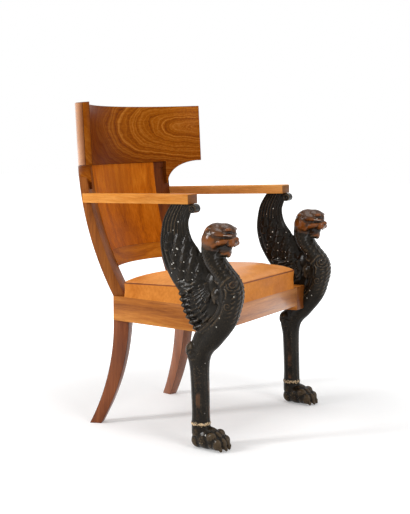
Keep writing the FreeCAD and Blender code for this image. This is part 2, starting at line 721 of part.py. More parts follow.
def cross_straps():
    """Webbing from side to side, stepping up over the straps below it."""
    straps = []
    for y in cross_strap_ys():
        low = rail_inner_x(y + STRAP_WIDTH / 2.0)
        outer = low + STRAP_BEARING
        high = low - STRAP_BEARING
        thick = STRAP_THICK
        outline = [(-outer, 0), (-low, 0), (-high, thick), (high, thick), (low, 0), (outer, 0),
                   (outer, thick), (low, thick), (high, 2 * thick), (-high, 2 * thick), (-low, thick),
                   (-outer, thick)]
        points = [V(x, y - STRAP_WIDTH / 2.0, RAIL_TOP + up) for x, up in outline]
        straps.append(prism(points, V(0, STRAP_WIDTH, 0)))
    return straps


# Fastenings of the left side

def arm_dowel():
    """The dowel through the lap of arm and stile."""
    level = ARM_UNDER - ARM_DROP + ARM_THICK / 2.0
    back = (stile_front_back(level) + stile_rear_back(level) - ARM_REAR_STOP) / 2.0
    return cylinder(DOWEL_RADIUS, DOWEL_LENGTH, post_point(back, DOWEL_LENGTH / 2.0, level), POST_OUT)


def wing_top_dowel():
    """The dowel from the wing's top into the arm."""
    foot = lion_point(WING_DOWEL_Y, LION_PARTS) - V(0, 0, DOWEL_LENGTH / 2.0)
    return cylinder(DOWEL_RADIUS, DOWEL_LENGTH, foot, V(0, 0, 1))


def wing_root_dowel():
    """The dowel from the wing into the carved block's back."""
    start = lion_point(WING_ROOT_Y, WING_ROOT_Z) - V(0, DOWEL_LENGTH / 2.0, 0)
    return cylinder(DOWEL_RADIUS, DOWEL_LENGTH, start, V(0, 1, 0))


def lion_screw_seat():
    """Where the lion's screw enters the side rail, below the corner block."""
    y = LION_HEEL - LION_SCREW_SETBACK
    return V(rail_inner_x(y), y, SIDE_RAIL_BOTTOM + SCREW_HEAD_RADIUS * 2.0)


def lion_screw():
    """The screw from inside the side rail into the carved block."""
    return screw(lion_screw_seat(), V(1, 0, 0), LION_SCREW_LENGTH)


def lion_screw_room():
    """The bore that low feathers leave free round that screw."""
    return cylinder(SCREW_RADIUS + SCREW_ROOM, LION_SCREW_LENGTH, lion_screw_seat(), V(1, 0, 0))


def both_sides(shapes):
    return Part.makeCompound(list(shapes) + [mirrored(shape) for shape in shapes])


def back_nodes():
    """Crest, panel, lower rail and the left stile, each cut for its neighbours."""
    crest = crest_board()
    tongue = crest_tongue()
    joint = LOWER_RAIL_BOTTOM + LOWER_RAIL_HEIGHT
    lower_rail = curved_board(LOWER_RAIL_BOTTOM, joint, LOWER_RAIL_THICK)
    panel = curved_board(joint, CREST_BOTTOM, BACK_PANEL_THICK).cut(over_crest_line())
    stile = stile_blank().cut([over_crest_line(), crest, panel, lower_rail])
    stile = stile.fuse([tongue, stile_tenon()]).removeSplitter()
    crest = crest.cut([tongue, mirrored(tongue)])
    return crest, panel, lower_rail, stile


def build():
    """Every node by name, in the order of the report's list."""
    crest, panel, lower_rail, stile = back_nodes()
    lap_pin = arm_dowel()
    top_pin = wing_top_dowel()
    root_pin = wing_root_dowel()
    bolt = lion_screw()

    arm = arm_blank().cut([stile]).cut([lap_pin, top_pin])
    stile = stile.cut(lap_pin)
    leg = rear_leg()
    front = front_rail()
    rear = rear_rail()
    body = lion().cut([side_rail_blank(), root_pin, bolt])
    feathers = wing(body).cut([root_pin, top_pin])
    rail = side_rail_blank().cut([front, rear, stile, leg, bolt])
    sides = {"stile": stile, "arm": arm, "rear_leg": leg, "side_rail": rail, "lion": body, "wing": feathers,
             "front_corner_block": corner_block(SEAT_FRONT + FRONT_RAIL_THICK, 1),
             "rear_corner_block": corner_block(CUSHION_REAR - REAR_RAIL_THICK, -1)}

    nodes = {"crest_tablet": crest, "back_panel": panel, "lower_back_rail": lower_rail,
             "front_rail": front, "rear_rail": rear}
    for name, shape in sides.items():
        nodes["left_" + name] = shape
        nodes["right_" + name] = mirrored(shape)
    nodes["lengthwise_webbing"] = Part.makeCompound(length_straps())
    nodes["crosswise_webbing"] = Part.makeCompound(cross_straps())
    nodes["seat_hessian"] = hessian()
    nodes["seat_stuffing"] = stuffing()
    nodes["seat_leather_border"] = leather_border()
    nodes["seat_leather_top"] = leather_top()
    nodes["arm_dowels"] = both_sides([lap_pin, top_pin])
    nodes["wing_dowels"] = both_sides([root_pin])
    nodes["lion_screws"] = both_sides([bolt])
    return nodes


def export(nodes):
    os.makedirs("parts", exist_ok=True)
    for name, shape in nodes.items():
        shape.exportStep("parts/" + name + ".step")


export(build())
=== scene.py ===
"""Dresses the desk armchair: polished mahogany frame, leather seat and carved winged lions."""

import logging
import math
from dataclasses import dataclass, field
from enum import Enum
from typing import Any, Sequence

import bmesh
import bpy
import numpy as np
from mathutils import Euler, Matrix, Vector
from mathutils.kdtree import KDTree


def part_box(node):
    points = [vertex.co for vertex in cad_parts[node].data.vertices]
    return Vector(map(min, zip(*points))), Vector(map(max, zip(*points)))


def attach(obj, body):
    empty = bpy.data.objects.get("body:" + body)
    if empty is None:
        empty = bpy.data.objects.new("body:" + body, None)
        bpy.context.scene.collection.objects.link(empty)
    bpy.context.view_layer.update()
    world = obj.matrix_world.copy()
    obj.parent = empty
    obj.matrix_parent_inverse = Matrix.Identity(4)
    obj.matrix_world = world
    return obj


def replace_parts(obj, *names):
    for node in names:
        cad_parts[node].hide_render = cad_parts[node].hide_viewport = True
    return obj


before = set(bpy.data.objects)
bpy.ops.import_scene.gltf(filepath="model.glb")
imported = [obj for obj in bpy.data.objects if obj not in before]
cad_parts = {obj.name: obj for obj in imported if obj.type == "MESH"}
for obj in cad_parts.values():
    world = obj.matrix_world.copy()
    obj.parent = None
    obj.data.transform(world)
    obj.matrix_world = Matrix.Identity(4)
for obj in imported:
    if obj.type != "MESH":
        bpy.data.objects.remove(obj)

LOG = logging.getLogger("armchair")
MM = 0.001
# How far a side rail comes in towards the rear, for each mm of its depth.
RAIL_TAPER = 66.0 / 385.0
# The sitter's sides, with the sign of x.
SIDES = (("left", 1), ("right", -1))
Colour = tuple[float, float, float]
Triple = tuple[float, float, float]
Tones = tuple[Colour, Colour, Colour]
Row = tuple[float, ...]
Socket = bpy.types.NodeSocket
Shape = bmesh.types.BMesh
Material = bpy.types.Material
Mesh = bpy.types.Mesh


def linear(colour: Colour) -> Row:
    """A screen colour, 0 to 255 a channel, as the linear colour that shaders take."""
    parts = [c / 255.0 for c in colour]
    return (*(p / 12.92 if p <= 0.04045 else ((p + 0.055) / 1.055) ** 2.4 for p in parts), 1.0)


def climb(values: Any, start: Any, run: float) -> Any:
    """How far values have climbed from a start along a run, from 0 to 1."""
    return np.clip((values - start) / run, 0.0, 1.0)


def heading(degrees: float) -> tuple[float, float]:
    """The direction of an angle on a side view."""
    return math.cos(math.radians(degrees)), math.sin(math.radians(degrees))


def through(rows: Sequence[Row], steps: int) -> list[Row]:
    """Fills a row of measures in along a smooth line.

    Args:
        rows: The measures that the line goes through.
        steps: How many steps there are from one to the next.

    Returns:
        The rows with the steps between them.
    """
    table = np.array(rows, float)
    padded = np.vstack([2 * table[0] - table[1], table, 2 * table[-1] - table[-2]])
    result = []
    for i in range(len(table) - 1):
        a, b, c, d = padded[i:i + 4]
        for t in (k / steps for k in range(steps)):
            result.append(tuple(0.5 * (2 * b + (c - a) * t + (2 * a - 5 * b + 4 * c - d) * t ** 2
                                       + (3 * b - a - 3 * c + d) * t ** 3)))
    return result + [tuple(table[-1])]


def from_line(path: Sequence[Row], first: np.ndarray, second: np.ndarray) -> np.ndarray:
    """Distance from points of a flat view to a line of straight stretches.

    Args:
        path: The line's points.
        first: First measure of each point.
        second: Its second measure.

    Returns:
        A distance for each point.
    """
    nearest = np.full(len(first), 1e9)
    for (a, b), (c, d) in zip(path, path[1:]):
        run, rise = c - a, d - b
        share = climb((first - a) * run + (second - b) * rise, 0.0, run * run + rise * rise)
        nearest = np.minimum(nearest, np.hypot(first - a - share * run, second - b - share * rise))
    return nearest


class Nodes:
    """The node tree of one finish."""

    def __init__(self, name: str) -> None:
        """Starts a finish with one principled shader.

        Args:
            name: The finish's name.
        """
        self.material = bpy.data.materials.new(name)
        self.material.use_nodes = True
        self.tree = self.material.node_tree
        self.tree.nodes.clear()
        self.shader = self.add("ShaderNodeBsdfPrincipled")
        output = self.add("ShaderNodeOutputMaterial")
        self.tree.links.new(self.shader.outputs["BSDF"], output.inputs["Surface"])
        self.source = self.add("ShaderNodeTexCoord")

    def add(self, kind: str, **settings: Any) -> bpy.types.Node:
        """Adds a node and sets its options.

        Args:
            kind: The node's type.
            **settings: Its options.

        Returns:
            The node.
        """
        node = self.tree.nodes.new(kind)
        for key, value in settings.items():
            setattr(node, key, value)
        return node

    def feed(self, socket: Socket, value: Any) -> None:
        """Links a socket, or sets its value.

        Args:
            socket: The socket to feed.
            value: The socket to link it to, or a plain value.
        """
        if isinstance(value, Socket):
            self.tree.links.new(value, socket)
        else:
            socket.default_value = value

    def fill(self, node: bpy.types.Node, **values: Any) -> bpy.types.Node:
        """Feeds a node's sockets.

        Args:
            node: The node.
            **values: Links or values by socket, named with underscores for spaces.

        Returns:
            The same node.
        """
        for key, value in values.items():
            self.feed(node.inputs[key.replace("_", " ")], value)
        return node

    def surface(self, **values: Any) -> Material:
        """Feeds the shader's sockets, and gives the finished material."""
        self.fill(self.shader, **values)
        return self.material

    def place(self, location: Triple = (0, 0, 0), turn: Triple = (0, 0, 0), scale: Triple = (1, 1, 1),
              vector: Socket | None = None) -> Socket:
        """Moves, turns and stretches a pattern's coordinates.

        Args:
            location: Shift in metres, after the stretch.
            turn: Angles in radians.
            scale: Stretch along each axis.
            vector: Coordinates to start from, or the object's own.

        Returns:
            The new coordinates.
        """
        start = vector or self.source.outputs["Object"]
        return self.fill(self.add("ShaderNodeMapping"), Vector=start, Location=location, Rotation=turn,
                         Scale=scale).outputs["Vector"]

    def apart(self, vector: Socket) -> Any:
        """The three measures of a vector."""
        return self.fill(self.add("ShaderNodeSeparateXYZ"), Vector=vector).outputs

    def noise(self, vector: Socket, scale: float, detail: float = 3.0, roughness: float = 0.5,
              distortion: float = 0.0) -> Socket:
        """A cloudy pattern from 0 to 1."""
        return self.fill(self.add("ShaderNodeTexNoise"), Vector=vector, Scale=scale, Detail=detail,
                         Roughness=roughness, Distortion=distortion).outputs["Fac"]

    def layers(self, place: Socket, scale: float, detail: float) -> Socket:
        """Uneven layers along one measure, from 0 to 1."""
        return self.fill(self.add("ShaderNodeTexNoise", noise_dimensions="1D"), W=place, Scale=scale,
                         Detail=detail).outputs["Fac"]

    def cells(self, vector: Socket, scale: float) -> Socket:
        """Distance to the middle of the nearest cell of an irregular net."""
        return self.fill(self.add("ShaderNodeTexVoronoi"), Vector=vector, Scale=scale).outputs["Distance"]

    def ramp(self, factor: Socket, *stops: tuple[float, Colour]) -> Socket:
        """Colours along a factor.

        Args:
            factor: The factor, from 0 to 1.
            *stops: Places along it with their screen colours.

        Returns:
            The colour.
        """
        node = self.fill(self.add("ShaderNodeValToRGB"), Fac=factor)
        elements = node.color_ramp.elements
        while len(elements) < len(stops):
            elements.new(0.5)
        for element, (place, colour) in zip(elements, stops):
            element.position = place
            element.color = linear(colour)
        return node.outputs["Color"]

    def fade(self, factor: Socket, low: float, high: float, out_low: float = 0.0,
             out_high: float = 1.0) -> Socket:
        """Brings a range of a factor smoothly to another range, and holds it there.

        Args:
            factor: The factor.
            low: Start of its range.
            high: End of its range.
            out_low: What the start becomes.
            out_high: What the end becomes.

        Returns:
            The new factor.
        """
        node = self.add("ShaderNodeMapRange", interpolation_type="SMOOTHSTEP")
        self.fill(node, Value=factor, From_Min=low, From_Max=high, To_Min=out_low, To_Max=out_high)
        return node.outputs["Result"]

    def math(self, operation: str, first: Any, second: Any = 0.0) -> Socket:
        """One step of arithmetic.

        Args:
            operation: The step's kind.
            first: Its first factor.
            second: Its second factor, where it takes two.

        Returns:
            The result.
        """
        node = self.add("ShaderNodeMath", operation=operation)
        self.feed(node.inputs[0], first)
        self.feed(node.inputs[1], second)
        return node.outputs[0]

    def times(self, first: Any, *others: Any) -> Any:
        """Multiplies factors.

        Args:
            first: The first factor.
            *others: The others.

        Returns:
            Their product.
        """
        for other in others:
            first = self.math("MULTIPLY", first, other)
        return first

    def total(self, *parts: Any) -> Any:
        """Adds factors up.

        Args:
            *parts: Each a factor alone, or a factor with its weight.

        Returns:
            Their sum.
        """
        steps = [self.times(*part) if isinstance(part, tuple) else part for part in parts]
        result = steps[0]
        for step in steps[1:]:
            result = self.math("ADD", result, step)
        return result

    def uneven(self, factor: Socket, pattern: Socket, amount: float) -> Socket:
        """A factor made higher or lower by a pattern."""
        return self.total(factor, (self.math("SUBTRACT", pattern, 0.5), amount))

    def mix(self, factor: Any, first: Any, second: Any) -> Socket:
        """Mixes two colours.

        Args:
            factor: Share of the second colour.
            first: The first colour.
            second: The second colour, as a screen colour or a socket.

        Returns:
            The mixed colour.
        """
        node = self.add("ShaderNodeMix", data_type="RGBA")
        self.fill(node, Factor=factor, A=first, B=second if isinstance(second, Socket) else linear(second))
        return node.outputs["Result"]

    def relief(self, height: Socket, strength: float, depth: float) -> Socket:
        """Surface normals of a fine relief, its depth in metres."""
        return self.fill(self.add("ShaderNodeBump"), Height=height, Strength=strength,
                         Distance=depth).outputs["Normal"]

    def painted(self, name: str) -> Socket:
        """A factor stored on the piece itself."""
        return self.add("ShaderNodeAttribute", attribute_name=name).outputs["Fac"]


def backdrop_rays(tree: bpy.types.NodeTree) -> Socket:
    """Adds nodes that tell rays of the camera, mirrors and glass from the light on the object.

    Args:
        tree: The node tree of a backdrop.

    Returns:
        One for such a ray and nought for the others.
    """
    path = tree.nodes.new("ShaderNodeLightPath")
    seen = path.outputs["Is Camera Ray"]
    for name in ("Is Glossy Ray", "Is Transmission Ray"):
        either = tree.nodes.new("ShaderNodeMath")
        either.operation = "MAXIMUM"
        tree.links.new(seen, either.inputs[0])
        tree.links.new(path.outputs[name], either.inputs[1])
        seen = either.outputs[0]
    return seen


class Grain(Enum):
    """Axis of the chair that a board's fibres follow."""

    ACROSS = 0
    ALONG = 1
    UPRIGHT = 2


class Figure(Enum):
    """How the growth rings show on a board's face."""

    PLAIN = "plain"
    ARCHED = "arched"
    BOOK_MATCHED = "book matched"


@dataclass(frozen=True)
class Timber:
    """French-polished mahogany, cut to one direction of its grain, with a dark, a middle and a light tone."""

    name: str
    grain: Grain
    tones: Tones
    end: Colour = (84, 40, 14)
    edge_dark: Colour = (44, 18, 4)
    figure: Figure = Figure.PLAIN
    turn: float = 0.0
    shift: Triple = (0.0, 0.0, 0.0)
    heart: tuple[float, float] = (0.303, 0.855)
    stretch: float = 2.9
    squareness: float = 2.4
    roughness: float = 0.34
    gloss: float = 0.08
    coat: float = 0.0
    rear_coat: float = 0.0
    coat_roughness: float = 0.16

    def fibres(self, nodes: Nodes, coords: Socket, draw: float) -> Socket:
        """Draws the board's coordinates out along its grain.

        Args:
            nodes: The finish's node tree.
            coords: The board's coordinates.
            draw: What one metre along the grain shrinks to.

        Returns:
            The new coordinates.
        """
        scale = [1.0, 1.0, 1.0]
        scale[self.grain.value] = draw
        return nodes.place(scale=tuple(scale), vector=coords)

    def material(self) -> Material:
        """Builds the finish.

        Returns:
            Colour from rings, streaks, pores and a darker band along the eased edges, under a thin polish,
            with rear faces painted lighter as a painted sheen where rear_coat is set.
        """
        nodes = Nodes(self.name)
        dark, middle, light = self.tones
        coords = nodes.place(location=self.shift, turn=(0, 0, self.turn))
        if self.figure is Figure.BOOK_MATCHED:
            folded = nodes.add("ShaderNodeVectorMath", operation="ABSOLUTE")
            nodes.feed(folded.inputs[0], nodes.source.outputs["Object"])
            coords = nodes.place(location=self.shift, vector=folded.outputs[0])
        fibre = self.fibres(nodes, coords, 0.07)
        bands = nodes.noise(fibre, 34.0, 2.0, 0.4, 0.6)
        streaks = nodes.noise(fibre, 210.0, 5.0, 0.62, 0.3)
        if self.figure is Figure.ARCHED:
            pattern, tint = self.arches(nodes, coords, streaks)
        else:
            pattern = nodes.total((bands, 0.62), (streaks, 0.48))
            tint = nodes.fade(nodes.noise(coords, 7.0, 3.0), 0.35, 0.75, 0.0, 0.32)
        normal = nodes.apart(nodes.source.outputs["Normal"])
        rear = nodes.fade(normal[1], 0.25, 0.6)
        facing = nodes.math("ABSOLUTE", normal[self.grain.value])
        tint = nodes.times(tint, nodes.math("SUBTRACT", 1.0, rear), nodes.fade(facing, 0.45, 0.65, 1.0, 0.4))
        colour = nodes.mix(tint, nodes.ramp(pattern, (0.3, dark), (0.54, middle), (0.8, light)), dark)
        coat: Any = self.coat
        if self.rear_coat:
            # Rear faces are painted lighter, toward the light tone, as a painted sheen; the same mask sets a
            # polish coat on them.
            polish = nodes.times(rear, nodes.fade(facing, 0.25, 0.5, 0.15, 1.0))
            colour = nodes.mix(nodes.times(polish, 0.5), colour, light)
            coat = nodes.times(polish, self.rear_coat)
        pits = nodes.fade(nodes.noise(self.fibres(nodes, coords, 0.03), 1500.0, 2.0), 0.58, 0.72)
        colour = nodes.mix(nodes.times(pits, 0.4), colour, self.end)
        colour = nodes.mix(nodes.fade(facing, 0.8, 0.97, 0.0, 0.75), colour, self.end)
        # Darker along the eased edges, in patches.
        edge_patches = nodes.fade(nodes.noise(coords, 40.0, 3.0), 0.3, 0.6, 0.45, 1.0)
        colour = nodes.mix(nodes.times(nodes.painted("edge"), edge_patches), colour, self.edge_dark)
        rough = nodes.fade(nodes.total((bands, 0.6), (streaks, 0.4)), 0.3, 0.75, self.roughness - 0.06,
                           self.roughness + 0.1)
        normals = nodes.relief(nodes.math("SUBTRACT", streaks, pits), 0.25, 0.0002)
        return nodes.surface(Base_Color=colour, Roughness=rough, Specular_IOR_Level=self.gloss,
                             Coat_Weight=coat, Coat_Roughness=self.coat_roughness, Normal=normals)

    def arches(self, nodes: Nodes, coords: Socket, streaks: Socket) -> tuple[Socket, Socket]:
        """Growth rings cut aslant, as long arches round a heart.

        Args:
            nodes: The finish's node tree.
            coords: The board's coordinates.
            streaks: Its fine fibre.

        Returns:
            The arches' pattern, and how far the board darkens away from the heart.
        """
        x, z = self.heart
        across, _, height = nodes.apart(nodes.place(location=(-x / self.stretch, 0.0, -z),
                                                    scale=(1.0 / self.stretch, 1.0, 1.0)))
        runs = [nodes.math("POWER", nodes.math("ABSOLUTE", run), self.squareness) for run in (across, height)]
        reach = nodes.total(nodes.math("POWER", nodes.total(*runs), 1.0 / self.squareness),
                            (nodes.noise(coords, 9.0, 2.0), 0.03), (nodes.noise(coords, 60.0, 2.0), 0.0045))
        pattern = nodes.total((nodes.layers(reach, 50.0, 1.0), 0.14), (nodes.layers(reach, 125.0, 1.0), 0.29),
                              (nodes.layers(reach, 270.0, 2.0), 0.38), (streaks, 0.26))
        # The brackets below the crest's edge take only half the dark tint: partly the wood's own tone there,
        # partly a painted sheen on their coves.
        above_brackets = nodes.fade(height, -0.122, -0.108, 0.5, 1.0)
        return pattern, nodes.times(nodes.fade(reach, 0.1, 0.165, 0.0, 0.72), above_brackets)


@dataclass(frozen=True)
class Leather:
    """Worn tan hide with a fine grain."""

    name: str
    light: Colour = (238, 164, 92)
    dark: Colour = (196, 116, 48)
    scuffed: Colour = (150, 74, 26)
    roughness: float = 0.34
    gloss: float = 0.2

    def material(self) -> Material:
        """Builds the finish.

        Returns:
            Cloudy colour, pebble grain, faint creases and a soft sheen.
        """
        nodes = Nodes(self.name)
        coords = nodes.place()
        cloud = nodes.noise(coords, 9.0, 5.0, 0.6)
        mottle = nodes.noise(coords, 120.0, 4.0, 0.6)
        colour = nodes.ramp(nodes.total((cloud, 0.7), (mottle, 0.3)), (0.32, self.dark), (0.66, self.light))
        scuffs = nodes.fade(nodes.noise(nodes.place(scale=(1.0, 0.35, 1.0)), 60.0, 6.0, 0.7), 0.6, 0.78)
        colour = nodes.mix(nodes.times(scuffs, 0.35), colour, self.scuffed)
        crease = nodes.noise(nodes.place(scale=(1.0, 0.3, 1.0)), 42.0, 6.0, 0.65, 0.8)
        height = nodes.total((nodes.cells(coords, 620.0), 0.35), crease)
        rough = nodes.fade(cloud, 0.3, 0.7, self.roughness - 0.05, self.roughness + 0.12)
        return nodes.surface(Base_Color=colour, Roughness=rough, Specular_IOR_Level=self.gloss,
                             Normal=nodes.relief(height, 0.35, 0.0007))


@dataclass(frozen=True)
class EbonisedPaint:
    """Old green-black paint over carved wood, rubbed to brown on high places, chipped to its ground, and
    painted with shade in its hollows.
    """

    name: str
    paint: Colour = (18, 14, 9)
    sheen: Colour = (40, 34, 26)
    thin: Colour = (98, 80, 58)
    wood: Colour = (88, 54, 24)
    worn: Colour = (44, 24, 10)
    rubbed: Colour = (132, 70, 12)
    hollow_shade: Colour = (14, 12, 10)
    ground: Colour = (206, 178, 140)
    fleck_and_highlight: Colour = (214, 210, 200)

    def material(self) -> Material:
        """Builds the finish from five factors on the piece's points: bare wood, wear, hollows with painted
        shade, chips, and white specks with a painted highlight.

        Returns:
            Paint, bare wood, rubbed edges, painted shade in hollows, chips, and white specks with a painted
            highlight, with their own gloss.
        """
        nodes = Nodes(self.name)
        coords = nodes.place()
        bare, wear, hollow, chipped, pearl = map(nodes.painted, ("bare", "wear", "hollow", "chip", "pearl"))
        cloud = nodes.noise(coords, 30.0, 5.0, 0.6)
        fine = nodes.noise(coords, 240.0, 4.0, 0.65)
        fibre = nodes.noise(nodes.place(scale=(1.0, 1.0, 0.15)), 160.0, 4.0, 0.6)
        paint = nodes.ramp(nodes.total((cloud, 0.6), (fine, 0.4)), (0.35, self.paint), (0.7, self.sheen))
        wood = nodes.ramp(nodes.total((cloud, 0.55), (fibre, 0.45)), (0.34, self.worn), (0.66, self.wood))
        wood = nodes.mix(nodes.fade(wear, 0.45, 0.95, 0.0, 0.7), wood, self.rubbed)
        rub = nodes.fade(nodes.uneven(wear, fine, 1.2), 0.45, 0.95)
        skin = nodes.fade(nodes.uneven(bare, cloud, 0.7), 0.4, 0.62)
        chip = nodes.fade(nodes.uneven(chipped, fine, 2.2), 0.62, 0.8)
        speck = nodes.times(nodes.fade(nodes.cells(coords, 46.0), 0.06, 0.1, 1.0, 0.0),
                            nodes.fade(nodes.noise(coords, 19.0, 1.0), 0.52, 0.58, 0.0, 0.8))
        # White specks, and the painted highlight stored with them.
        white = nodes.math("MAXIMUM", speck, nodes.fade(pearl, 0.45, 0.8))
        colour = nodes.mix(nodes.times(rub, 0.5), paint, self.thin)
        # Hollows take painted shade, then chips show the ground, then white specks and a painted highlight go
        # on top.
        for cover, layer in ((skin, wood), (nodes.times(hollow, 0.85), self.hollow_shade), (chip, self.ground),
                             (white, self.fleck_and_highlight)):
            colour = nodes.mix(cover, colour, layer)
        rough = nodes.fade(nodes.total(cloud, (chip, 0.6)), 0.3, 1.0, 0.16, 0.36)
        return nodes.surface(Base_Color=colour, Roughness=rough, Specular_IOR_Level=0.13,
                             Coat_Weight=nodes.fade(skin, 0.0, 1.0, 0.0, 0.22), Coat_Roughness=0.2,
                             Normal=nodes.relief(fine, 0.05, 0.0002))


@dataclass(frozen=True)
class Weave:
    """Plain woven cloth of coarse yarn."""

    name: str
    warp: Colour = (176, 140, 92)
    shade: Colour = (96, 72, 44)
    count: float = 420.0

    def material(self) -> Material:
        """Builds the finish.

        Returns:
            Over and under yarns, with fluff between.
        """
        nodes = Nodes(self.name)
        yarns = []
        for turn in (0.0, math.pi / 2.0):
            node = nodes.add("ShaderNodeTexWave", wave_type="BANDS", bands_direction="X")
            nodes.fill(node, Vector=nodes.place(turn=(0, 0, turn)), Scale=self.count / 6.0, Distortion=1.2)
            yarns.append(node.outputs["Fac"])
        cloth = nodes.times(*yarns)
        fluff = nodes.noise(nodes.place(), 300.0, 4.0)
        colour = nodes.ramp(nodes.total((cloth, 0.7), (fluff, 0.3)), (0.12, self.shade), (0.6, self.warp))
        return nodes.surface(Base_Color=colour, Roughness=0.9, Normal=nodes.relief(cloth, 0.6, 0.0006))


@dataclass(frozen=True)
class Steel:
    """Dull old iron of hidden screws."""

    name: str
    colour: Colour = (120, 116, 110)
    rust: Colour = (96, 70, 50)

    def material(self) -> Material:
        """Builds the finish.

        Returns:
            Grey metal with rust-brown clouds.
        """
        nodes = Nodes(self.name)
        cloud = nodes.noise(nodes.place(), 300.0, 4.0)
        return nodes.surface(Base_Color=nodes.ramp(cloud, (0.4, self.colour), (0.7, self.rust)), Metallic=1.0,
                             Roughness=nodes.fade(cloud, 0.3, 0.7, 0.35, 0.6))


def linked(name: str, data: Any) -> bpy.types.Object:
    """Puts an object into the scene.

    Args:
        name: The object's name.
        data: Its mesh, curve, lamp or camera.

    Returns:
        The object.
    """
    item = bpy.data.objects.new(name, data)
    bpy.context.scene.collection.objects.link(item)
    return item


def as_mesh(name: str, shape: Shape) -> Mesh:
    """Turns a shape into a mesh.

    Args:
        name: The mesh's name.
        shape: The shape. It is freed.

    Returns:
        The mesh.
    """
    mesh = bpy.data.meshes.new(name)
    shape.to_mesh(mesh)
    shape.free()
    return mesh


def settled(item: bpy.types.Object) -> Mesh:
    """Runs an object's modifiers.

    Args:
        item: The object. It is removed.

    Returns:
        Its mesh as the modifiers leave it.
    """
    graph = bpy.context.evaluated_depsgraph_get()
    mesh = bpy.data.meshes.new_from_object(item.evaluated_get(graph))
    bpy.data.objects.remove(item)
    return mesh


def applied(mesh: Mesh, kind: str, **settings: Any) -> Mesh:
    """Runs one modifier on a mesh.

    Args:
        mesh: The mesh to start from. It is removed.
        kind: The modifier's type.
        **settings: Its options.

    Returns:
        The new mesh.
    """
    helper = linked("helper", mesh)
    modifier = helper.modifiers.new(kind, kind)
    for key, value in settings.items():
        setattr(modifier, key, value)
    result = settled(helper)
    bpy.data.meshes.remove(mesh)
    return result


def outwards(shape: Shape) -> Shape:
    """Turns all of a shape's faces outwards."""
    bmesh.ops.recalc_face_normals(shape, faces=shape.faces[:])
    return shape


def thicken(shape: Shape, faces: Sequence[bmesh.types.BMFace], rise: float) -> None:
    """Gives faces a thickness.

    Args:
        shape: The shape they belong to.
        faces: The faces, which stay below.
        rise: Thickness upwards, in mm.
    """
    made = bmesh.ops.extrude_face_region(shape, geom=faces, use_keep_orig=True)
    bmesh.ops.translate(shape, verts=[g for g in made["geom"] if isinstance(g, bmesh.types.BMVert)],
                        vec=(0, 0, rise * MM))


def new_piece(name: str, form: Shape | Mesh, finish: Material,
              smooth_angle: float = 38.0) -> bpy.types.Object:
    """Turns a finished form into a piece of the chair.

    Args:
        name: The piece's name.
        form: Its shape or mesh, in metres, in the chair's frame.
        finish: Its material.
        smooth_angle: Edges sharper than this many degrees stay crisp.

    Returns:
        The piece, riding on the chair.
    """
    mesh = form if isinstance(form, Mesh) else as_mesh(name, form)
    mesh.name = name
    mesh.materials.clear()
    mesh.materials.append(finish)
    mesh.shade_smooth()
    mesh.set_sharp_from_angle(angle=math.radians(smooth_angle))
    piece = linked(name, mesh)
    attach(piece, "root")
    return piece


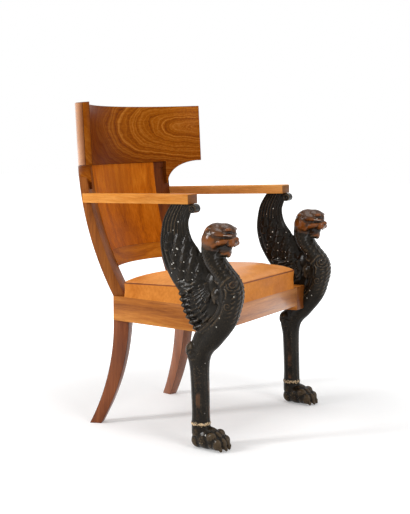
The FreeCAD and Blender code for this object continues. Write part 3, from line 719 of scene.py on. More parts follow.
@dataclass
class JoineryFrame:
    """The mahogany frame: every board of the CAD frame with its edges eased and its own cut of timber."""

    weld: float = 0.02
    flat: float = 0.6
    ease: float = 0.9
    steps: int = 2
    crisp: float = 28.0
    crest_half: float = 303.0
    crest_tilt: float = 3.0
    crest_radius: float = 430.0
    crest_face: float = 12.0
    crest_back: float = 14.0
    crest_swell: tuple[float, float] = (12.0, 22.0)
    crest_rounding: tuple[float, float] = (37.0, 7.6)
    rail_lean: float = math.atan(RAIL_TAPER)
    arm_lean: float = 1.2

    def timbers(self) -> dict[str, Timber]:
        """Chooses each board's cut of timber.

        Returns:
            The cuts, by node.
        """
        deep = ((62, 26, 6), (100, 46, 12), (130, 68, 24))
        tan = ((84, 40, 12), (142, 80, 30), (172, 106, 48))
        golden = ((112, 54, 10), (176, 104, 36), (212, 142, 64))
        cuts = {
            # The crest's rear_coat also paints a sheen on its rear faces.
            "crest_tablet": Timber("crest_timber", Grain.ACROSS, ((88, 26, 0), (156, 84, 10), (210, 138, 58)),
                                   figure=Figure.ARCHED, gloss=0.03, rear_coat=1.0),
            "back_panel": Timber("panel_timber", Grain.UPRIGHT, ((130, 60, 0), (186, 96, 6), (216, 128, 32)),
                                 figure=Figure.BOOK_MATCHED, shift=(0.3, 0.1, 0.0), gloss=0.05),
            "lower_back_rail": Timber("lower_rail_timber", Grain.ACROSS,
                                      ((122, 56, 2), (172, 94, 10), (206, 126, 36)),
                                      shift=(0.0, 0.2, 0.4), gloss=0.06),
            # The front rail's tones are paler and pinker than the other rails': partly the wood, partly a
            # painted reflection on its polished face.
            "front_rail": Timber("front_rail_timber", Grain.ACROSS,
                                 ((118, 62, 22), (184, 118, 66), (216, 152, 94)),
                                 shift=(0.1, 0.0, 0.1), gloss=0.4, coat=0.3),
            "rear_rail": Timber("rear_rail_timber", Grain.ACROSS, deep, shift=(0.4, 0.0, 0.3)),
        }
        for side, sign in SIDES:
            lean = sign * self.rail_lean
            cuts[side + "_side_rail"] = Timber(side + "_rail_timber", Grain.ALONG, golden, turn=-lean,
                                               shift=(0.2 * sign, 0.0, 0.15), gloss=0.14)
            arm, leg, polish = self.side_tones(sign)
            cuts[side + "_arm"] = Timber(side + "_arm_timber", Grain.ALONG, arm, turn=lean * -self.arm_lean,
                                         end=(76, 34, 6), shift=(0.5 * sign, 0.0, 0.3), gloss=0.07)
            cuts[side + "_rear_leg"] = Timber(side + "_leg_timber", Grain.UPRIGHT, leg,
                                              shift=(0.9 * sign, 0.4, 0.0), **polish)
        # The left stile takes the deep tones and the right stile the tan: painted shade on the left stile's
        # front.
        cuts["left_stile"] = Timber("left_stile_timber", Grain.UPRIGHT, deep, shift=(0.7, 0.2, 0.0))
        cuts["right_stile"] = Timber("right_stile_timber", Grain.UPRIGHT, tan, shift=(-0.7, 0.2, 0.0),
                                     gloss=0.1)
        return cuts

    def side_tones(self, sign: int) -> tuple[Tones, Tones, dict[str, float]]:
        """Chooses the tones of one side's arm and rear leg. The sitter's left arm is painted lighter than the
        right, as painted light, and the left leg paler, as a painted reflection.

        Args:
            sign: 1 for the sitter's left, -1 for the right.

        Returns:
            The arm's tones, the leg's tones and the leg's polish.
        """
        # Lighter left tones: painted light on the arm, painted reflection on the leg.
        if sign > 0:
            arm = ((160, 94, 36), (222, 152, 80), (244, 186, 116))
            leg = ((96, 50, 24), (146, 84, 48), (176, 108, 66))
            return arm, leg, {"gloss": 0.4, "coat": 0.3}
        arm = ((144, 76, 16), (204, 128, 50), (234, 164, 84))
        leg = ((78, 34, 12), (126, 66, 32), (156, 90, 48))
        return arm, leg, {"gloss": 0.2, "coat": 0.12}

    def eased(self, node: bpy.types.Object) -> Shape:
        """A board's shape with its sharp edges rounded over.

        Args:
            node: The CAD node.

        Returns:
            The shape, joined up and bevelled, with the factor edge on the bevels.
        """
        shape = bmesh.new()
        shape.from_mesh(node.data)
        edge = shape.faces.layers.float.new("edge")
        bmesh.ops.remove_doubles(shape, verts=shape.verts, dist=self.weld * MM)
        bmesh.ops.dissolve_limit(shape, angle_limit=math.radians(self.flat), verts=shape.verts,
                                 edges=shape.edges)
        if node.name.startswith("crest"):
            self.square_ends(shape)
        sharp = [e for e in shape.edges
                 if len(e.link_faces) == 2 and e.calc_face_angle(0.0) > math.radians(self.crisp)]
        made = bmesh.ops.bevel(shape, geom=sharp, offset=self.ease * MM, offset_type="OFFSET", affect="EDGES",
                               segments=self.steps, profile=0.5, material=-1, clamp_overlap=True)
        for face in made["faces"]:
            face[edge] = 1.0
        return shape

    def square_ends(self, shape: Shape) -> None:
        """Turns the crest's ends square to its curve, and rounds their rear edges over a thicker back.

        Args:
            shape: The crest's shape.
        """
        lean = math.tan(math.radians(self.crest_tilt))
        ends = [v for v in shape.verts if abs(v.co.x) > (self.crest_half - 0.2) * MM]
        face = min(v.co.y - v.co.z * lean for v in ends)
        for vert in ends:
            deep = vert.co.y - vert.co.z * lean - face
            vert.co += Vector((math.copysign(0.5 * deep, vert.co.x), -0.5 * deep, 0.0))
        radius = self.crest_radius * MM
        heart = face - math.sqrt(radius ** 2 - (self.crest_half * MM) ** 2)
        for vert in shape.verts:
            ray = Vector((vert.co.x, vert.co.y - vert.co.z * lean - heart, 0.0))
            turn = math.degrees(math.atan2(abs(ray.x), ray.y))
            if ray.length > radius + self.crest_face * MM:
                thick = climb(turn, *self.crest_swell) * (1.0 - climb(turn, *self.crest_rounding) ** 2.0)
                vert.co += ray.normalized() * (self.crest_back * MM * thick)

    def build(self) -> None:
        """Makes every board and puts it in place of its node."""
        for name, timber in self.timbers().items():
            shape = self.eased(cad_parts[name])
            piece = new_piece(name + "_board", shape, timber.material(), 30.0)
            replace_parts(piece, name)
            LOG.info("board %s", piece.name)

    def dress_hidden(self) -> None:
        """Finishes the blocks, dowels and screws that stay as the CAD made them."""
        block = Timber("block_timber", Grain.ALONG, ((120, 86, 48), (168, 130, 82), (196, 160, 108)),
                       end=(110, 78, 44), roughness=0.6).material()
        finishes = {"corner_block": block, "dowels": block, "screws": Steel("screw_iron").material()}
        for name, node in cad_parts.items():
            for kind, finish in finishes.items():
                if kind in name:
                    node.data.materials.clear()
                    node.data.materials.append(finish)


@dataclass
class LeatherSeat:
    """The boxed seat: a crowned top sewn to a border, on hessian and webbing."""

    front: float = -237.0
    rear: float = 113.0
    notch_x: float = 190.0
    notch_rear: float = -154.0
    wide_half: float = 254.3
    rear_half: float = 208.5
    rail_top: float = 374.0
    border_front: float = 54.0
    border_rear: float = 40.0
    border_hollow: float = 1.4
    short_edge: float = 20.0
    pad_inset: float = 1.5
    pad_voxel: float = 4.0
    quick_voxel: float = 5.5
    crown_edge: float = 2.0
    crown_rise: float = 22.0
    crown_run: float = 86.0
    crown_fullness: float = 2.5
    blank: float = 8.0
    corner: float = 9.0
    sewn_height: float = 4.0
    swell_pressure: float = 4.0
    swell_limit: float = 4.0
    swell_steps: int = 20
    welt: float = 1.7
    welt_inset: float = 0.4
    strap_count: int = 4
    strap_width: float = 50.0
    strap_thick: float = 2.0
    canvas_inset: float = 12.0

    def seam(self, y: Any) -> Any:
        """Height of the seam at a depth, in mm."""
        share = (y - self.front) / (self.rear - self.front)
        return self.rail_top + self.border_front + (self.border_rear - self.border_front) * share

    def outline(self, inset: float = 0.0) -> list[Row]:
        """Corners of the seat in plan.

        Args:
            inset: How far they are drawn in, in mm.

        Returns:
            The corners, from the front of the sitter's left.
        """
        notch = self.notch_rear + inset
        half = [(self.notch_x - inset, self.front + inset), (self.notch_x - inset, notch),
                (self.wide_half - inset, notch), (self.rear_half - inset, self.rear - inset)]
        return half + [(-x, y) for x, y in reversed(half)]

    def plan(self, inset: float) -> Shape:
        """The seat's plan as one flat face on the seam, with rounded corners.

        Args:
            inset: How far it is drawn in, in mm.

        Returns:
            A mesh of one face that looks up.
        """
        shape = bmesh.new()
        corners = [shape.verts.new((x * MM, y * MM, self.seam(y) * MM)) for x, y in self.outline(inset)]
        face = shape.faces.new(corners)
        bmesh.ops.bevel(shape, geom=list(face.verts), offset=self.corner * MM, offset_type="OFFSET",
                        affect="VERTICES", segments=4, profile=0.5, material=-1)
        if shape.faces[:][0].normal.z < 0:
            bmesh.ops.reverse_faces(shape, faces=shape.faces[:])
        shape.normal_update()
        return shape

    def top_form(self) -> Mesh:
        """Shapes the stuffed top before it swells.

        Returns:
            A closed pad, crowned away from its seam.
        """
        shape = self.plan(self.pad_inset)
        thicken(shape, shape.faces[:], self.blank)
        voxel = self.pad_voxel
        mesh = applied(as_mesh("seat_top_form", outwards(shape)), "REMESH", mode="VOXEL",
                       voxel_size=voxel * MM)
        places, _ = points_of(mesh)
        seams = self.seam(places[:, 1])
        corners = self.outline()
        edge = from_line(corners + corners[:1], places[:, 0], places[:, 1])
        slope = 1.0 - climb(edge, 0.0, self.crown_run)
        rise = self.crown_edge + self.crown_rise * (1.0 - slope ** self.crown_fullness)
        places[:, 2] = seams + (places[:, 2] - seams) / self.blank * rise
        put_points(mesh, places)
        return mesh

    def swollen(self, mesh: Mesh) -> Mesh:
        """Blows the pad up a little, as cloth held along its seam.

        Args:
            mesh: The pad's form.

        Returns:
            The same mesh with its points moved.
        """
        rest, _ = points_of(mesh)
        helper = linked("seat_cloth", mesh.copy())
        held = helper.vertex_groups.new(name="sewn")
        sewn = np.nonzero(rest[:, 2] < self.seam(rest[:, 1]) + self.sewn_height)[0]
        held.add([int(i) for i in sewn], 1.0, "REPLACE")
        cloth = helper.modifiers.new("Cloth", "CLOTH")
        for key, value in (("use_pressure", True), ("uniform_pressure_force", self.swell_pressure),
                           ("vertex_group_mass", "sewn"), ("quality", 5), ("tension_stiffness", 25.0),
                           ("bending_stiffness", 2.0)):
            setattr(cloth.settings, key, value)
        cloth.settings.effector_weights.gravity = 0.0
        cloth.point_cache.frame_start = 1
        cloth.point_cache.frame_end = self.swell_steps
        for step in range(1, self.swell_steps + 1):
            bpy.context.scene.frame_set(step)
        moved, _ = points_of(settled(helper))
        bpy.context.scene.frame_set(1)
        shift = moved - rest
        far = np.linalg.norm(shift, axis=1, keepdims=True)
        put_points(mesh, rest + shift * np.minimum(1.0, self.swell_limit / np.maximum(far, 1e-6)))
        return mesh

    def border_form(self) -> Shape:
        """Shapes the sewn side of the seat.

        Returns:
            A closed form, hollow between seam and rail, with slack in the hide.
        """
        shape = self.plan(0.0)
        made = bmesh.ops.extrude_face_region(shape, geom=shape.faces[:], use_keep_orig=True)
        for face in [g for g in made["geom"] if isinstance(g, bmesh.types.BMFace)]:
            for vert in face.verts:
                vert.co.z = self.rail_top * MM
        outwards(shape)
        short = self.short_edge * MM
        uprights = [e for e in shape.edges if abs(e.verts[0].co.z - e.verts[1].co.z) > short]
        bmesh.ops.subdivide_edges(shape, edges=uprights, cuts=9, use_grid_fill=True)
        level = [e for e in shape.edges
                 if abs(e.verts[0].co.z - e.verts[1].co.z) < short < e.calc_length()]
        bmesh.ops.subdivide_edges(shape, edges=level, cuts=24, use_grid_fill=True)
        shape.normal_update()
        for vert in shape.verts:
            x, y, z = (c / MM for c in vert.co)
            share = (z - self.rail_top) / (self.seam(y) - self.rail_top)
            if 0.02 < share < 0.98:
                folds = 0.7 * math.sin(x * 0.045 + 1.3 * math.sin(z * 0.07))
                slack = 0.6 * (folds + 0.5 * math.sin(y * 0.06 + z * 0.21))
                vert.co -= vert.normal * ((self.border_hollow + slack) * math.sin(math.pi * share) * MM)
        return shape

    def welt_form(self) -> Mesh:
        """Rolls the seam between top and border.

        Returns:
            A roll round the seat.
        """
        shape = self.plan(self.welt_inset)
        rim = [v.co.copy() for v in shape.faces[:][0].verts]
        shape.free()
        curve = bpy.data.curves.new("welt", "CURVE")
        curve.dimensions = "3D"
        curve.bevel_depth = self.welt * MM
        curve.bevel_resolution = 3
        line = curve.splines.new("POLY")
        line.points.add(len(rim) - 1)
        for point, place in zip(line.points, rim):
            point.co = (*place, 1.0)
        line.use_cyclic_u = True
        return settled(linked("welt", curve))

    def strap(self, shape: Shape, start: Row, end: Row, across: Triple, rise: float) -> None:
        """Adds one webbing strap.

        Args:
            shape: The mesh to add to.
            start: Middle of its first end in plan, in mm.
            end: Middle of its other end.
            across: Half its width, as a vector.
            rise: How far it steps up between its ends.
        """
        first, last, side = Vector((*start, self.rail_top)), Vector((*end, self.rail_top)), Vector(across)
        made = bmesh.ops.create_grid(shape, x_segments=28, y_segments=4, size=0.5)
        for vert in made["verts"]:
            along, wide = vert.co.x + 0.5, vert.co.y * 2.0
            step = rise * climb(0.5 - abs(along - 0.5), 0.055, 0.1)
            vert.co = (first.lerp(last, along) + side * wide + Vector((0, 0, step))) * MM
        faces = list(dict.fromkeys(f for v in made["verts"] for f in v.link_faces))
        bmesh.ops.recalc_face_normals(shape, faces=faces)
        thicken(shape, faces, self.strap_thick)

    def build_support(self) -> None:
        """Webbing and hessian under the stuffing."""
        jute = Weave("jute_webbing", warp=(150, 122, 84), shade=(86, 68, 44), count=520.0).material()
        half = self.strap_width / 2.0
        shares = [k / (self.strap_count - 1) for k in range(self.strap_count)]
        for way in ("lengthwise", "crosswise"):
            (left, front, _), (right, rear, _) = ([c / MM for c in end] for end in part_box(way + "_webbing"))
            shape = bmesh.new()
            for share in shares:
                if way == "lengthwise":
                    x = (right - left - self.strap_width) * (share - 0.5)
                    self.strap(shape, (x, front), (x, rear), (half, 0, 0), 0.0)
                else:
                    y = front + half + (rear - front - self.strap_width) * share
                    reach = right - (y - half - front) * RAIL_TAPER
                    self.strap(shape, (-reach, y), (reach, y), (0, half, 0), self.strap_thick)
            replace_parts(new_piece(way + "_straps", outwards(shape), jute), way + "_webbing")
        canvas = bmesh.new()
        height = self.rail_top + 2.0 * self.strap_thick
        face = canvas.faces.new([canvas.verts.new((x * MM, y * MM, height * MM))
                                 for x, y in self.outline(self.canvas_inset)])
        thicken(canvas, [face], 1.0)
        outwards(canvas)
        area = face.calc_area()
        sheet = new_piece("hessian_canvas", canvas, Weave("hessian_cloth").material())
        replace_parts(sheet, "seat_hessian")

    def build(self) -> None:
        """Makes the seat and puts it in place of its soft nodes."""
        pad_mesh = applied(self.swollen(self.top_form()), "SUBSURF", levels=1, render_levels=1)
        pad = new_piece("seat_top", pad_mesh, Leather("tan_hide").material(), 60.0)
        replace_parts(pad, "seat_leather_top", "seat_stuffing")
        # The border's hide is painted darker than the top's: painted shade on the seat's sides.
        border_hide = Leather("border_hide", light=(224, 144, 64), dark=(180, 100, 30), gloss=0.05)
        side = new_piece("seat_border", self.border_form(), border_hide.material(), 50.0)
        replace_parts(side, "seat_leather_border")
        # The welt's hide is painted dark: painted shade along the seam line.
        welt_hide = Leather("welt_hide", light=(150, 78, 30), dark=(104, 50, 16))
        new_piece("seat_welt", self.welt_form(), welt_hide.material())
        self.build_support()
        LOG.info("seat built")


@dataclass
class Carving:
    """A block of wood built up from lofted and rounded forms, then cut back to one skin. Sizes in mm."""

    shape: Shape = field(default_factory=bmesh.new)
    segments: int = 36

    def egg(self, centre: Triple, radii: Triple, turn: Triple = (0, 0, 0)) -> None:
        """Adds an egg.

        Args:
            centre: Its middle.
            radii: Its half axes.
            turn: Degrees it is turned about X, Y and Z.
        """
        angles = Euler([math.radians(a) for a in turn])
        matrix = Matrix.LocRotScale(Vector(centre) * MM, angles, Vector(radii) * MM)
        bmesh.ops.create_uvsphere(self.shape, u_segments=20, v_segments=14, radius=1.0, matrix=matrix)

    def eggs(self, rows: Sequence[Sequence[Triple]]) -> None:
        """Adds eggs, and a mirror image of each that lies beside the middle plane.

        Args:
            rows: Middle, half axes and, where it is turned, the turn of each egg.
        """
        for centre, radii, *turns in rows:
            turn = turns[0] if turns else (0, 0, 0)
            self.egg(centre, radii, turn)
            if centre[0]:
                self.egg((-centre[0], *centre[1:]), radii, (turn[0], -turn[1], -turn[2]))

    def drum(self, centre: Triple, radius: float, width: float) -> None:
        """Adds a short cylinder across the middle plane.

        Args:
            centre: Its middle.
            radius: Its radius.
            width: Its length.
        """
        matrix = Matrix.LocRotScale(Vector(centre) * MM, Euler((0, math.pi / 2.0, 0)), None)
        bmesh.ops.create_cone(self.shape, cap_ends=True, segments=40, radius1=radius * MM,
                              radius2=radius * MM, depth=width * MM, matrix=matrix)

    def loft(self, rings: Sequence[tuple[Triple, Triple, Triple]]) -> None:
        """Adds a closed form over a row of ovals.

        Args:
            rings: Each oval's middle and its two half axes.
        """
        loops = []
        for centre, first, second in rings:
            a, b = Vector(first) * MM, Vector(second) * MM
            matrix = Matrix((a, b, a.cross(b).normalized())).transposed().to_4x4()
            matrix.translation = Vector(centre) * MM
            made = bmesh.ops.create_circle(self.shape, cap_ends=False, radius=1.0, segments=self.segments,
                                           matrix=matrix)
            loops.append(list(dict.fromkeys(e for v in made["verts"] for e in v.link_edges)))
        for lower, upper in zip(loops, loops[1:]):
            bmesh.ops.bridge_loops(self.shape, edges=lower + upper)
        for end in (loops[0], loops[-1]):
            bmesh.ops.holes_fill(self.shape, edges=end, sides=0)

    def skinned(self, voxel: float, rounds: int) -> Mesh:
        """Fuses the forms into one smooth skin.

        Args:
            voxel: Size of the finest detail kept, in mm.
            rounds: How often the skin is smoothed.

        Returns:
            The skin.
        """
        solid = as_mesh("carving", outwards(self.shape))
        mesh = applied(solid, "REMESH", mode="VOXEL", voxel_size=voxel * MM)
        skin = bmesh.new()
        skin.from_mesh(mesh)
        for _ in range(rounds):
            bmesh.ops.smooth_vert(skin, verts=skin.verts, factor=0.5, use_axis_x=True, use_axis_y=True,
                                  use_axis_z=True)
        skin.to_mesh(mesh)
        skin.free()
        return mesh


def points_of(mesh: Mesh) -> tuple[np.ndarray, np.ndarray]:
    """Reads a mesh's points.

    Args:
        mesh: The mesh.

    Returns:
        Their places in mm, and their normals.
    """
    places = np.empty(len(mesh.vertices) * 3)
    normals = np.empty(len(mesh.vertices) * 3)
    mesh.vertices.foreach_get("co", places)
    mesh.vertex_normals.foreach_get("vector", normals)
    return places.reshape(-1, 3) / MM, normals.reshape(-1, 3)


def put_points(mesh: Mesh, places: np.ndarray) -> None:
    """Moves a mesh's points to places in mm."""
    mesh.vertices.foreach_set("co", (places * MM).ravel())
    mesh.update()


def paint(mesh: Mesh, **factors: Any) -> None:
    """Stores factors on a mesh's points.

    Args:
        mesh: The mesh.
        **factors: Each factor's values from 0 to 1, or one value for all points.
    """
    for name, values in factors.items():
        layer = mesh.attributes.new(name, "FLOAT", "POINT")
        filled = np.broadcast_to(np.clip(values, 0.0, 1.0), len(mesh.vertices))
        layer.data.foreach_set("value", filled.astype(np.float32))


def bulge(mesh: Mesh, voxel: float, spread: float) -> np.ndarray:
    """How far each point stands out from the surface round it, in mm.

    Args:
        mesh: The mesh to look at.
        voxel: Distance between its points.
        spread: How far the surface round a point counts.

    Returns:
        Above zero on ridges, below zero in hollows.
    """
    places, normals = points_of(mesh)
    size = len(places)
    edges = np.empty(len(mesh.edges) * 2, dtype=np.int64)
    mesh.edges.foreach_get("vertices", edges)
    first, second = edges.reshape(-1, 2).T
    count = np.maximum(np.bincount(edges, minlength=size), 1)
    mean = places
    for _ in range(round((spread / voxel) ** 2)):
        sums = [np.bincount(first, part[second], size) + np.bincount(second, part[first], size)
                for part in mean.T]
        mean = np.stack(sums, 1) / count[:, None]
    return np.einsum("ij,ij->i", places - mean, normals)


def near(y: np.ndarray, z: np.ndarray, centre: Row, size: Row) -> np.ndarray:
    """A soft spot of 1 round a centre of the side view, with half sizes in mm."""
    return np.exp(-((y - centre[0]) / size[0]) ** 2 - ((z - centre[1]) / size[1]) ** 2)


@dataclass(frozen=True)
class Stroke:
    """A line of the chisel on a side view: its points, half width and height, below nought for a cut."""

    points: tuple[Row, ...]
    width: float
    height: float

    def relief(self, y: np.ndarray, z: np.ndarray) -> np.ndarray:
        """Its height at points of the side view."""
        return self.height * np.exp(-(from_line(through(self.points, 5), y, z) / self.width) ** 2)


@dataclass(frozen=True)
class Scroll:
    """A carved spiral on a side view: eye, reach, height, radians a mm, hand, and how sharply it ends."""

    eye: tuple[float, float]
    reach: float
    height: float
    pitch: float
    hand: float = -1.0
    end: float = 4.0

    def cut(self, y: np.ndarray, z: np.ndarray) -> tuple[np.ndarray, np.ndarray]:
        """Cuts the spiral at points of the side view.

        Args:
            y: Depths of the points.
            z: Heights of the points.

        Returns:
            How far it covers them, from 0 to 1, and its height there.
        """
        radius = np.hypot(y - self.eye[0], z - self.eye[1])
        turn = np.arctan2(z - self.eye[1], y - self.eye[0])
        cover = np.exp(-(radius / self.reach) ** self.end)
        return cover, self.height * np.cos(radius * self.pitch + self.hand * turn)


FACE_STROKES = (
    Stroke(((-94, 575), (-105, 573.5), (-117, 573)), 2.4, 1.8),
    Stroke(((-66, 570), (-88, 568), (-110, 567)), 3.4, -2.2),
    Stroke(((-64, 545), (-79, 555), (-98, 561), (-114, 564)), 4.2, 1.8),
    Stroke(((-74, 540), (-90, 549), (-104, 551)), 3.0, -2.0),
)
FLANK_STROKES = (
    Stroke(((-62, 414), (-56, 398), (-42, 384), (-30, 375)), 2.2, -2.0),
    Stroke(((-77, 406), (-71, 390), (-57, 373), (-44, 361)), 2.2, -2.4),
    Stroke(((-84, 402), (-78, 384), (-64, 365), (-50, 351)), 2.2, 1.6),
    Stroke(((-92, 398), (-86, 377), (-71, 357), (-56, 342)), 2.2, -2.4),
    Stroke(((-66, 352), (-52, 336), (-38, 326), (-26, 318)), 2.0, -2.0),
    Stroke(((-44, 348), (-30, 334), (-14, 322)), 2.0, -2.0),
    Stroke(((-54, 449), (-66, 456), (-82, 451)), 3.6, 3.0),
    Stroke(((-52, 440), (-66, 446), (-84, 440)), 2.4, -2.4),
    Stroke(((-90, 443), (-102, 458), (-116, 471)), 2.0, 2.2),
    Stroke(((-96, 438), (-108, 455), (-120, 466)), 1.8, -2.2),
    Stroke(((-104, 436), (-106, 424), (-104, 414)), 2.0, 1.8),
    Stroke(((-99, 434), (-101, 420), (-98, 408)), 2.0, -2.0),
    Stroke(((-16, 262), (2, 268), (14, 258), (4, 246), (-10, 250)), 2.6, -1.0),
)
CHEST_SCROLLS = (Scroll((-122.0, 447.0), 22.0, 1.5, 0.8), Scroll((-109.0, 392.0), 12.0, 1.1, 0.75, hand=1.0))
WING_SCROLL = Scroll((8.0, 638.0), 12.0, 1.6, 0.95, end=6.0)

# Height, middle, half depth and half width of the leg, flank, chest and neck.
TORSO_ROWS = (
    (36, -12, 25, 25), (66, -12, 25, 25), (98, -12, 24, 24), (160, -10, 24.5, 25),
    (215, -8, 26, 27), (244, -7, 31, 29), (262, -14, 35, 30), (277, -24, 41, 30),
    (312, -46, 50, 30), (341, -70, 46, 31), (372, -93, 33, 35), (417, -101, 35, 38),
    (456, -93, 34, 38), (492, -63, 33, 37), (521, -48, 29, 35), (556, -46, 27, 33),
)
# Depth, middle, half height and half width of the upper and the lower jaw.
MUZZLE_ROWS = ((-78, 561, 20, 26), (-97, 560, 17, 22), (-110, 559, 13, 18), (-118, 558, 9, 13))
JAW_ROWS = ((-48, 526, 13, 26), (-72, 524, 10, 21), (-90, 526, 7.5, 16), (-100, 529, 5, 11))
# Skull, forehead, nose, lips, brows, cheeks, temples, cheekbones, ears, eyes, chin, tongue and fangs.
HEAD_EGGS = (
    ((0, -62, 567), (34, 41, 38)), ((0, -82, 580), (27, 33, 24.6)), ((0, -116, 563), (11, 8, 7.5)),
    ((11, -105, 553), (12, 15, 9), (0, 0, 10)), ((14, -99, 589), (13, 11, 7), (0, 12, -20)),
    ((20, -52, 559), (17, 28, 28), (0, 0, 5)), ((21, -70, 578), (14, 28, 13), (4, 0, 4)),
    ((23, -84, 556), (10, 18, 11), (-14, 0, 0)), ((27, -46, 585), (5, 9, 8), (-24, 0, 0)),
    ((17.5, -103, 578), (5.5, 6, 4.6)), ((0, -92, 521), (10, 8, 7)), ((0, -82, 541), (18, 22, 14)),
    ((10, -106, 545), (2.8, 2.8, 6), (-8, 0, 0)),
)
# Ball, heel and front of the paw.
PAW_EGGS = (((0, -34, 30), (29, 38, 31)), ((0, -6, 22), (24, 20, 22)), ((0, -58, 22), (30, 26, 22)))
# Two swellings of the knee, and the shoulder.
JOINT_EGGS = (((17, 6, 268), (15, 17, 22), (12, 0, 0)), ((18, -2, 246), (12, 20, 13)),
              ((22, -77, 417), (15, 22, 26)))
# Shoulder, rear edge, root and lower end of the wing.
WING_EGGS = (((0, 2, 470), (16, 46, 66), (-24, 0, 0)), ((0, -24, 400), (14, 44, 64), (14, 0, 0)),
             ((0, -56, 436), (18, 36, 44)), ((0, -50, 380), (22, 36, 54), (18, 0, 0)))


@dataclass(frozen=True)
class Feather:
    """A short feather on the wing's side view: root, direction, size and how high it lies. Sizes in mm."""

    root: tuple[float, float]
    angle: float
    length: float
    width: float
    lift: float
    crown: float
    shaft: float = 0.7
    tilt: float = 1.2
    widest: float = 0.62

    def height(self, y: np.ndarray, z: np.ndarray) -> np.ndarray:
        """Its surface over the wing's ground.

        Args:
            y: Depths of the points.
            z: Heights of the points.

        Returns:
            Heights in mm, far below the ground outside the feather.
        """
        c, s = heading(self.angle)
        along = ((y - self.root[0]) * c + (z - self.root[1]) * s) / self.length
        across = -(y - self.root[0]) * s + (z - self.root[1]) * c
        inside = np.clip(along, 0.0, 1.0)
        rounded = np.sqrt(np.clip(1.0 - (2.0 * np.abs(inside - self.widest) / 0.76) ** 2.6, 0.0, 1.0))
        half = np.where(inside < self.widest, self.width / 2.0 * (self.widest + 0.38 * inside / self.widest),
                        self.width / 2.0 * rounded + 0.01)
        b = across / half
        surface = (self.lift * (0.2 + 0.8 * inside) - 0.6 + self.tilt * b
                   + self.crown * (1.0 - b ** 2) * climb(inside, 0.0, 0.3)
                   + self.shaft * np.exp(-(across / 1.1) ** 2)
                   - 0.25 * np.abs(np.sin((along * self.length + np.abs(across) * 0.8) * 0.9)))
        return np.where((np.abs(b) < 1.0) & (along > 0.0) & (along < 1.0), surface, -99.0)

    def tip_form(self, block: Carving, thick: float) -> None:
        """Adds the feather's solid to the block, so that its tip shows in the outline.

        Args:
            block: The wing's block.
            thick: The solid's thickness.
        """
        c, s = heading(self.angle)
        for share, reach in ((0.46, 0.46), (0.76, 0.22)):
            far = share * self.length
            block.egg((0.0, self.root[0] + far * c, self.root[1] + far * s),
                      (thick / 2.0, self.length * reach, self.width * 0.6), (self.angle, 0, 0))


